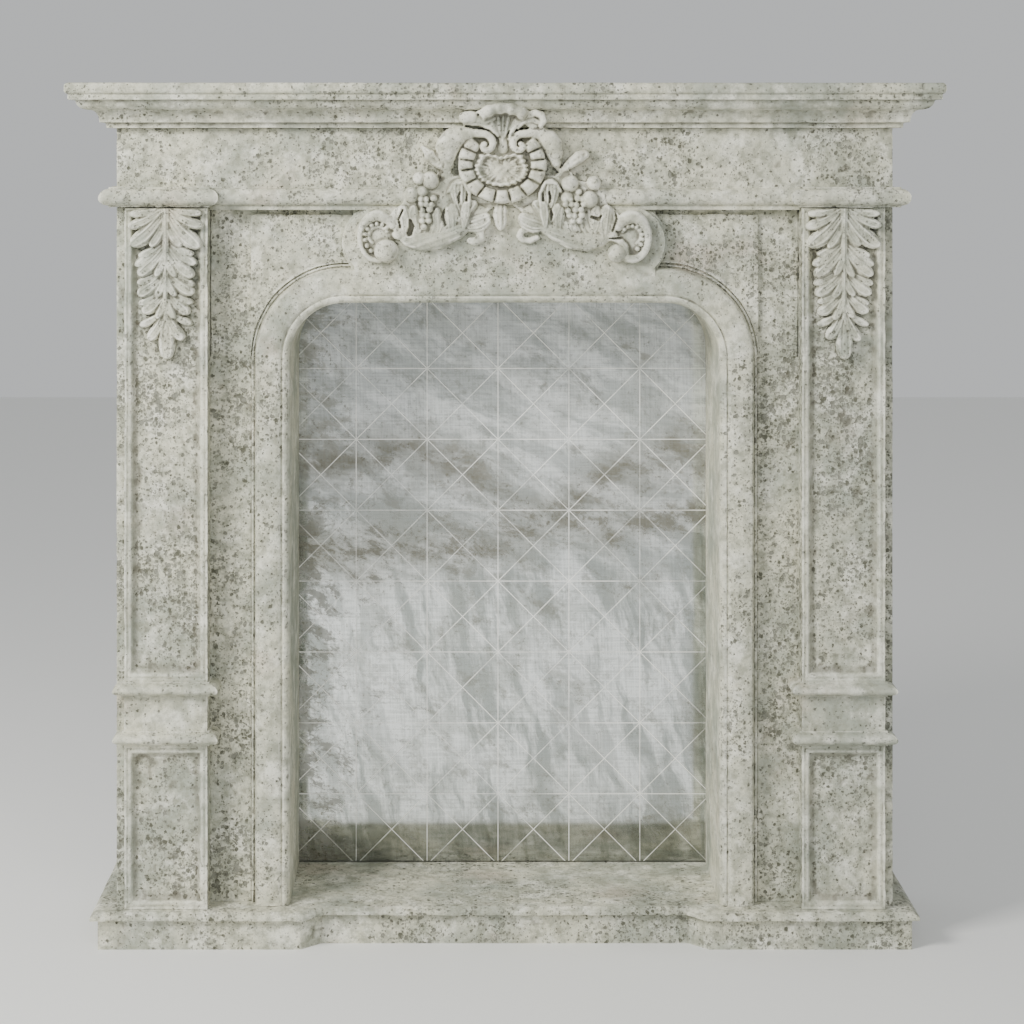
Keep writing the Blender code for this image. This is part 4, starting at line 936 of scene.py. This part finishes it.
def shell(x, z, lay):
    """A hollow shell with a toothed rim, in a ring of close-set pillows that is open at the top.

    The ring is cut at fixed angles into cells, and each is rounded off over five millimetres at its joints
    and eight at its edges. The shell's outline is an ellipse dented by the stem, with a horn at each side.
    """
    lay(lump(x, z, (-4.5, -34), (75, 65), 0, 2, 18, 3.0))
    bearing = np.degrees(np.arctan2((z + 34) / 55, (x + 4.5) / 63))
    bearing = np.where(bearing > 100, bearing - 360, bearing)
    joints = np.array([-227, -207, -188.5, -170.5, -149, -125, -101.5, -78.5, -55, -31, -9.5, 8.5, 27, 47])
    cell = np.clip(np.searchsorted(joints, bearing) - 1, 0, len(joints) - 2)
    middle = (joints[cell] + joints[cell + 1]) / 2
    room = (joints[cell + 1] - joints[cell]) / 2
    to_joint = (room - np.abs(bearing - middle)) * math.pi / 180 * 59 - 0.2
    ring_reach = np.hypot((x + 4.5) / 63, (z + 34) / 55)
    to_edge = (0.215 + 0.012 * np.sin(cell * 2.1) - np.abs(ring_reach - 1)) * 59
    rounding = (1 - np.clip(1 - to_joint / 5.5, 0, 1) ** 2) * (1 - np.clip(1 - to_edge / 8.5, 0, 1) ** 2)
    dome = 4.5 * np.cos(np.clip((bearing - middle) / room, -1, 1) * math.pi / 2)
    pillow = 18 + 14 * np.sqrt(np.maximum(rounding, 0)) + dome + 1.3 * np.sin(cell * 2.7)
    lay(np.where((to_joint > 0) & (to_edge > 0), pillow, EMPTY))
    angle = np.arctan2((x + 6.0) / 47, (z + 42) / 30)
    tooth = np.cos(24 * angle + 0.9 * np.sin(3 * angle))
    horns = 0.17 * np.exp(-(((np.abs(angle) - 0.68) / 0.26) ** 2))
    dent = 0.26 * np.exp(-((angle / 0.33) ** 2))
    edge = (1 + horns - dent) * (1 + 0.018 * tooth)
    around = np.hypot((x + 6.0) / 47, (z + 42) / 30) / edge
    rim = 10.5 * np.exp(-(((around - 0.87) / 0.10) ** 2)) * (1 + 0.10 * tooth)
    ribs = 1.9 * tooth * np.clip(around * 2.4 - 0.80, 0, 1) * (0.75 + 0.35 * np.sin(5 * angle + 1))
    dish = 5.5 * np.exp(-((around / 0.45) ** 2)) + 0.9 * np.sin(x * 0.43 + 1.6 * np.sin(z * 0.37))
    lay(np.where(around < 1, 21.5 + rim + ribs + dish, EMPTY))


def volute(x, z, lay, side):
    """The end of the scroll: a rim that thins as it winds down, beads in its channel, and a ball."""
    centre = (side * 219, -158)
    angle = np.linspace(150, -108, 30)
    halves = np.interp(angle, [-108, -60, -20, 20, 60, 110, 150], [6, 4.8, 5.0, 6.5, 9.5, 10.5, 7.5])
    halves = halves + (2.0 if side > 0 else 0.0)
    rim_x = centre[0] + side * (36.5 - halves) * np.cos(np.radians(angle))
    rim_z = centre[1] + (46.5 - halves) * np.sin(np.radians(angle))
    lay(ribbon(x, z, list(zip(rim_x, rim_z)), list(halves), [11] * 30, 1.15))
    lay(lump(x, z, centre, (30, 37), 0, 3, 6, 3.0))
    lay(ribbon(x, z, turns(centre, side, 150, -50, 18, 14.5, 16), [3.2] * 16, [9] * 16, 1.5))
    for i in range(9):
        bead_angle = math.radians(136 - i * 25)
        bead_reach = 21.5 + 0.8 * max(0, i - 5) ** 1.6 - (3.5 if side > 0 else 0)
        bead_x = centre[0] + side * bead_reach * math.cos(bead_angle)
        bead_z = centre[1] + 1.04 * bead_reach * math.sin(bead_angle)
        lay(lump(x, z, (bead_x, bead_z), (4.0, 4.0), 0, 12, 7))
    if side < 0:
        lay(lump(x, z, (-204.5, -183), (22, 21), 0, 8, 24))
    else:
        lay(lump(x, z, (194, -187), (17.5, 16), 0, 8, 19))
        fold = [(176, -158), (196, -163), (207, -174), (208, -186)]
        lay(ribbon(x, z, fold, [6, 6, 6, 7], [12, 13, 13, 12], 0.9))
    lay(lump(x, z, (side * 184, -156), (11, 8), side * 20, 10, 10))


def wing(x, z, lay, side):
    """One half of the cartouche's foot: leaves and fruit on a scroll that ends in a beaded volute."""
    spine = mirrored(side, (40, -82), (85, -98), (128, -114), (166, -130))
    lay(ribbon(x, z, spine, [34, 46, 52, 30], [7, 8, 9, 7], 0.10))
    lay(lump(x, z, (side * 118, -92), (58, 26), side * -22, 11, 4.5, 4.0))
    scroll = mirrored(
        side, (28, -110), (56, -132), (84, -150), (114, -163), (142, -167), (166, -163), (184, -154),
    )
    belly = ribbon(x, z, scroll, [4, 10, 15, 17, 17, 13, 7], [9, 10, 11, 11, 11, 10, 9], 0.72)
    lay(np.where(belly > EMPTY, belly + 0.7 * np.cos((z + 0.35 * np.abs(x)) * 0.62), EMPTY))
    hem = mirrored(side, (84, -128), (120, -140), (150, -136), (176, -130))
    skirt = ribbon(x, z, hem, [15, 20, 25, 24], [14] * 4, 0.12)
    pleats = 1.1 * np.cos((np.abs(x) + 0.35 * z + 3 * np.sin(z * 0.08)) * 0.72)
    lay(np.where(skirt > EMPTY, skirt + pleats, EMPTY))
    leaves = (
        (172, -162, 177, -103, 13, 13, 9, 2.5, 0.5, 0.05),
        (150, -160, 158, -104, 12, 12, 9, 2.5, 0.5, -0.06),
        (128, -168, 104, -132, 10, 13, 8, 2.5, 0.5, 0.16),
        (140, -168, 116, -122, 10, 12, 8, 2.5, 0.5, 0.16),
        (110, -164, 117, -108, 10, 12, 9, 2.5, 0.5, -0.08),
        (94, -158, 97, -106, 11, 13, 10, 2.5, 0.5, 0.06),
        (74, -116, 79, -58, 17, 15, 13, 2.5, 0.7, -0.05),
        (70, -142, 66, -97, 9, 18, 10, 1.5, 0.5, 0.0),
        (79, -132, 93, -101, 8, 16, 9, 1.5, 0.6, 0.0),
        (88, -52, 117, -50, 7, 9, 8, 1.0, 0.4, 0.0),
        (76, -144, 51, -95, 13, 12, 11, 2.0, 0.6, -0.10),
        (78, -140, 23, -124, 16, 10, 12, 2.5, 0.45, 0.08),
    )
    for root_x, root_z, tip_x, tip_z, width, base, rise, flutes, swell, bend in leaves:
        root, tip = (side * root_x, root_z), (side * tip_x, tip_z)
        lay(lobe(x, z, root, tip, width, base, rise, flutes, swell, side * bend))
    stalk = mirrored(side, (62, -104), (60, -84), (70, -64), (88, -66), (96, -80))
    lay(ribbon(x, z, stalk, [3] * 5, [24, 26, 28, 26, 22], 1.0))
    if side < 0:
        bud, bud_halves = mirrored(side, (96, -46), (112, -34), (128, -18), (141, -4)), [5, 9.5, 10.5, 4]
    else:
        bud, bud_halves = [(98, -45), (112, -33), (128, -21), (138, -16)], [5, 9, 11, 9]
    lay(ribbon(x, z, bud, bud_halves, [12, 12, 11, 10], 1.15, 3.0))
    lay(lump(x, z, (side * 54, -120), (24, 20), side * 20, 9, 7, 2.6))
    volute(x, z, lay, side)
    bunch_x = -134 if side < 0 else 119
    rows = (3, 3, 2, 2, 2, 1) if side < 0 else (4, 4, 3, 3, 2)
    for row, berries in enumerate(rows):
        for i in range(berries):
            shift = 1.5 * math.sin(row * 2.3 + i * 4.1)
            berry_x = bunch_x + (i - (berries - 1) / 2) * 10.0 + side * row * 0.8 + shift
            berry_z = -93 - row * 9.4 + shift * 0.7
            lay(lump(x, z, (berry_x, berry_z), (5.9 + 0.3 * shift, 5.9), 0, 20 - row * 0.3, 8.5))


def cartouche(x, z):
    """How far the carving stands in front of the frieze, in millimetres about the whorls' level."""
    high, lay = laid_over(x)
    for side in (-1, 1):
        wing(x, z, lay, side)
    shell(x, z, lay)
    crest(x, z, lay)
    for side in (-1, 1):
        whorl(x, z, lay, side)
    fruits = (
        (-147, -58, 12, 17), (-128, -61, 16, 20), (-160, -86, 14, 16), (-142, -80, 11, 15),
        (112, -67, 16, 19), (154, -66, 13, 16), (107, -90, 12, 16), (146, -94, 15.5, 20), (127, -81, 7, 14),
    )
    for fruit_x, fruit_z, half, rise in fruits:
        away = (x - fruit_x + 0.2 * half) ** 2 + (z - fruit_z - 0.15 * half) ** 2
        fruit = lump(x, z, (fruit_x, fruit_z), (half, half), 0, 12, rise)
        lay(np.where(fruit > EMPTY, fruit - 1.8 * np.exp(-away / 9.0), EMPTY))
    bud = lump(x, z, (-7, -122), (14, 27), 0, 10, 11, 1.7)
    lay(np.where(bud > EMPTY, bud - 2.4 * np.exp(-(((np.abs(x + 7) - 4.2) / 1.5) ** 2)), EMPTY))
    for curl, halves in (
        ([(-66, -147), (-52, -145), (-42, -151), (-41, -161), (-52, -167), (-60, -165)],
         [5, 7, 8, 8, 7.5, 6]),
        ([(38, -147), (29, -149), (26, -157), (32, -164), (44, -165), (56, -160)],
         [5, 6, 6.5, 6.5, 6, 5]),
    ):
        lay(ribbon(x, z, curl, halves, [9] * 6, 0.9))
    cuts = (
        ([(-163, -130), (-160, -140), (-164, -152)], [2.5, 4.5, 5.0], 6),
        ([(-104, -112), (-107, -124), (-102, -138)], [1.8, 2.8, 1.8], 6),
        ([(7, -108), (8, -122), (7, -138)], [1.2, 2.6, 1.2], 2),
        ([(-22, -114), (-23, -124), (-21, -136)], [1.0, 2.2, 1.0], 3),
        ([(79, -110), (81, -120), (80, -130)], [0.8, 2.4, 0.8], 10),
        ([(-77, -80), (-80, -90), (-79, -100)], [0.8, 2.4, 0.8], 12),
        ([(76, -80), (78, -89), (77, -99)], [0.8, 2.4, 0.8], 12),
        ([(181, -161), (190, -161), (203, -160)], [1.0, 2.0, 2.4], 6),
        ([(190, -112), (193, -128), (186, -148)], [1.6, 1.6, 1.6], 6),
        ([(-176, -112), (-183, -128), (-180, -142)], [1.6, 1.6, 1.6], 6),
        ([(150, -124), (162, -128), (166, -122)], [2.6, 3.0, 1.6], 6),
        ([(-152, -98), (-146, -112)], [1.4, 1.4], 9),
    )
    for route, halves, floor in cuts:
        slot = ribbon(x, z, route, halves, [0] * len(route), 1.0)
        high[:] = np.where(slot > EMPTY, np.minimum(high, floor + 3 - slot), high)
    return high


carving_columns = np.arange(-0.262, 0.2621, CARVING_STEP)
low_edge = EYE_Z - 0.210
near_middle = 1 / (1 + np.exp((np.abs(carving_columns) - 0.106) / 0.004))
top_edge = EYE_Z + 0.014 + 0.067 * near_middle
share = np.linspace(0, 1, int((EYE_Z + 0.081 - low_edge) / CARVING_STEP))[:, None]
carving_x = np.broadcast_to(carving_columns, (len(share), len(carving_columns))).copy()
carving_z = low_edge + share * (top_edge - low_edge)[None, :]
high = np.maximum(cartouche(carving_x * 1000, (carving_z - EYE_Z) * 1000), -12) / 1000
relief(
    "cartouche", carving_x, carving_z, high, FACE_Y, FACE_Y + 0.020, CARVING_STEP,
    lintel_finish, ["lintel"], "lintel_stone", 0.60, 91,
)

# Shelf: one casting of the slab and the cornice under it, resting on the lintel. From the foot up its edge
# is a plain fascia, a cavetto, an ovolo, a fillet and the slab's rounded edge, mitred round both corners.
shelf_finish = limestone("shelf_limestone", 0.9, 0.7, 0.0016)


def arc(start, end, count, out, up, reach, rise):
    """Part of an ellipse about (out, up), in degrees from the outward side."""
    angles = np.radians(np.linspace(start, end, count))
    return [(out + reach * math.cos(a), up + rise * math.sin(a)) for a in angles]


cavetto = arc(172, 90, 10, 0.0395, 0.0096, 0.0135, 0.0215)
ovolo = arc(-90, 0, 10, 0.044, 0.0474, 0.0175, 0.0159)
nose = arc(-90, 0, 6, 0.072, 0.0639, 0.0065, 0.0065)
brow = arc(0, 90, 6, 0.072, 0.0709, 0.0065, 0.0065)
shelf_profile = graded(
    [(0.0, 0.0), (0.016, 0.0), (0.016, 0.0092), (0.026, 0.0096)] + cavetto + [(0.044, 0.0311)] + ovolo
    + [(0.073, 0.0478), (0.073, 0.0570)] + nose + brow + [(0.050, 0.0774), (0.020, 0.0774)],
    0.0016, 0.005,
) + [0, SHELF_Z]
shelf_rings = plan_rings(frieze_line, shelf_profile)
cast("shelf", shelf_rings, shelf_finish, ["mantel_shelf"], "shelf_stone", 0.8, 95)

# Mirror: a sheet of aged silvered glass that closes the niche from behind, let into a rebate. The silver is
# clouded, streaked and foxed, and a pale lattice of squares with both diagonals is printed over it.
MIRROR_LOW = SLAB_HEIGHT + 0.0022
CELL = 0.130
LINE = 0.0017
CROSSING_X = -0.008
CROSSING_Z = 0.7104
mirror_half = HALF_OPENING + MIRROR_COVER - 0.0004
mirror_high = OPENING_TOP + MIRROR_COVER - 0.0004
mirror_corners = [
    (-mirror_half, MIRROR_LOW), (mirror_half, MIRROR_LOW),
    (mirror_half, mirror_high), (-mirror_half, mirror_high),
]
mirror_profile = np.array([
    (0, BACK_Y), (0, MIRROR_Y + 0.0008), (0.0003, MIRROR_Y + 0.0002), (0.0010, MIRROR_Y),
])
mirror_rings = facing_rings(mirror_corners, mirror_profile, 0.02, 0.05)

silver = bpy.data.materials.new("antiqued_mirror")
silver.use_nodes = True
tree = silver.node_tree
shader = tree.nodes["Principled BSDF"]
place = tree.nodes.new("ShaderNodeTexCoord").outputs["Object"]
apart = node(tree, "ShaderNodeSeparateXYZ", ((0, place),))
from_left = apart.outputs[0]
from_floor = apart.outputs[2]


def stretched(place, angle, reach):
    """Places drawn out, so that a pattern runs along a slant that falls to the right by the angle."""
    turn = (0.0, math.radians(angle), 0.0)
    inputs = (("Vector", place), ("Rotation", turn), ("Scale", (reach, 1.0, 1.0)))
    return node(tree, "ShaderNodeMapping", inputs, vector_type="TEXTURE").outputs[0]


def vein(level, width):
    """A band that wanders about a level: 1 at its middle and 0 beyond its width."""
    away = sums(tree, "SUBTRACT", sums(tree, "ADD", from_floor, wobble), level)
    return sums(tree, "SUBTRACT", 1.0, ramp(tree, sums(tree, "ABSOLUTE", away), 0.0, width))


across = sums(tree, "DIVIDE", sums(tree, "SUBTRACT", from_left, CROSSING_X), CELL)
upwards = sums(tree, "DIVIDE", sums(tree, "SUBTRACT", from_floor, CROSSING_Z), CELL)
rising = sums(tree, "ADD", across, upwards)
falling = sums(tree, "SUBTRACT", across, upwards)
slant = CELL / math.sqrt(2)
nearest = 1.0
for value, spread in ((across, CELL), (upwards, CELL), (rising, slant), (falling, slant)):
    away = sums(tree, "MULTIPLY", sums(tree, "PINGPONG", value, 0.5), spread)
    nearest = sums(tree, "MINIMUM", nearest, away)
fading = ramp(tree, clouds(tree, place, 10.0, 4.0, 3.3), 0.36, 0.60)
line = sums(tree, "SUBTRACT", 1.0, ramp(tree, nearest, LINE * 0.28, LINE * 0.72))
lattice = sums(tree, "MULTIPLY", line, sums(tree, "MULTIPLY_ADD", fading, 0.58, 0.34))

drift = node(tree, "ShaderNodeTexNoise", (("Vector", place), ("Scale", 9.0), ("Detail", 4.0)))
drifting = shoved(tree, place, drift.outputs[1], (0.06, 0.0, 0.06))
slanted = clouds(tree, stretched(drifting, 24, 4.5), 26.0, 7.0, 0.7, 0.66)
upright = clouds(tree, stretched(drifting, 76, 5.0), 26.0, 7.0, 1.9, 0.66)
half_way = ramp(tree, from_floor, 0.50, 0.72)
streaks = node(tree, "ShaderNodeMix", ((0, half_way), (2, upright), (3, slanted))).outputs[0]
cloud = clouds(tree, drifting, 11.0, 8.0, 4.1, 0.68)
bloom = clouds(tree, stretched(drifting, 30, 1.8), 7.0, 7.0, 6.3, 0.62)
fox = clouds(tree, stretched(drifting, 18, 2.0), 40.0, 8.0, 2.2, 0.74)
marks = clouds(tree, stretched(place, 35, 1.6), 24.0, 9.0, 4.7, 0.78)
speck = ramp(tree, clouds(tree, place, 150.0, 5.0, 5.5, 0.75), 0.53, 0.66)
level_strokes = clouds(tree, stretched(place, 0, 26.0), 330.0, 3.0, 7.1)
upright_strokes = clouds(tree, stretched(place, 88, 26.0), 300.0, 3.0, 9.9)
brushed = sums(tree, "ADD", level_strokes, upright_strokes)
wobble = sums(tree, "MULTIPLY_ADD", clouds(tree, place, 8.0, 5.0, 8.1, 0.6), 0.20, -0.10)
falling_vein = sums(tree, "MULTIPLY_ADD", ramp(tree, from_left, -0.19, 0.15), -0.103, 0.802)
rising_vein = sums(tree, "MULTIPLY_ADD", ramp(tree, from_left, -0.08, 0.34), 0.180, 0.638)
core = sums(tree, "MAXIMUM", vein(falling_vein, 0.042), vein(rising_vein, 0.052))
around = sums(tree, "MAXIMUM", vein(falling_vein, 0.090), vein(rising_vein, 0.110))
beside = sums(tree, "MULTIPLY_ADD", cloud, 0.22, from_left)
left_edge = sums(tree, "SUBTRACT", 1.0, ramp(tree, beside, -0.27, -0.06))
aged = sums(tree, "MAXIMUM", sums(tree, "MULTIPLY", around, 0.85), left_edge)
aged = sums(tree, "MAXIMUM", aged, sums(tree, "MULTIPLY", ramp(tree, cloud, 0.50, 0.66), 0.55))
edge = sums(tree, "MULTIPLY_ADD", aged, -0.14, 0.60)
foxed = ramp(tree, fox, edge, sums(tree, "ADD", edge, 0.10))
# Painted shade: the silver darkens below a ragged line near its foot, standing in for the slab's shaded
# reflection.
ragged_height = sums(tree, "MULTIPLY_ADD", cloud, 0.03, from_floor)
painted_dark_foot = sums(tree, "SUBTRACT", 1.0, ramp(tree, ragged_height, 0.145, 0.165))
head = ramp(tree, from_floor, 0.62, 0.86)
bright = blended(tree, head, (0.84, 0.87, 0.86, 1.0), (0.93, 0.955, 0.94, 1.0))
streaked = blended(tree, head, (0.40, 0.43, 0.415, 1.0), (0.58, 0.61, 0.595, 1.0))
sheet = layered(tree, blended(tree, ramp(tree, streaks, 0.44, 0.58), bright, streaked), (
    (ramp(tree, cloud, 0.46, 0.60), 0.50, (0.40, 0.42, 0.385, 1.0)),
    (ramp(tree, marks, 0.51, 0.63), 0.62, (0.24, 0.24, 0.20, 1.0)),
    (ramp(tree, bloom, 0.50, 0.64), 0.40, (0.88, 0.905, 0.905, 1.0)),
    (painted_dark_foot, 0.55, (0.22, 0.215, 0.175, 1.0)),
    (around, 0.42, (0.36, 0.35, 0.30, 1.0)),
    (foxed, 0.62, (0.20, 0.19, 0.15, 1.0)),
    (sums(tree, "MULTIPLY", core, ramp(tree, fox, 0.40, 0.58)), 0.62, (0.15, 0.14, 0.10, 1.0)),
    (ramp(tree, brushed, 0.92, 1.14), 0.34, (0.30, 0.32, 0.30, 1.0)),
    (sums(tree, "MULTIPLY", speck, sums(tree, "ADD", aged, 0.55)), 0.66, (0.17, 0.16, 0.12, 1.0)),
    (lattice, 0.95, (0.99, 0.98, 0.93, 1.0)),
))
behind = ramp(tree, apart.outputs[1], MIRROR_Y + 0.001, MIRROR_Y + 0.004)
backing = blended(tree, ramp(tree, cloud, 0.40, 0.62), (0.24, 0.225, 0.195, 1.0), (0.16, 0.15, 0.13, 1.0))
haze = sums(tree, "MULTIPLY_ADD", foxed, 0.16, sums(tree, "MULTIPLY_ADD", streaks, 0.06, 0.05))
haze = sums(tree, "MAXIMUM", haze, sums(tree, "MULTIPLY", lattice, 0.45))
rough = sums(tree, "MAXIMUM", haze, sums(tree, "MULTIPLY", behind, 0.75))
dulled = sums(tree, "MAXIMUM", lattice, sums(tree, "MULTIPLY", foxed, 0.45))
metal = sums(tree, "MULTIPLY_ADD", dulled, -0.70, 0.93)
metal = sums(tree, "MULTIPLY", metal, sums(tree, "MULTIPLY_ADD", head, -0.50, 1.0))
metal = sums(tree, "MULTIPLY", metal, sums(tree, "SUBTRACT", 1.0, behind))
tree.links.new(blended(tree, behind, sheet, backing), shader.inputs["Base Color"])
tree.links.new(rough, shader.inputs["Roughness"])
tree.links.new(metal, shader.inputs["Metallic"])
mirror_points = mirror_rings.reshape(-1, 3)
mirror = finished("mirror", mirror_points, capped(mirror_rings), silver, ["antique_mirror"], "mirror")
mirror.data.shade_flat()
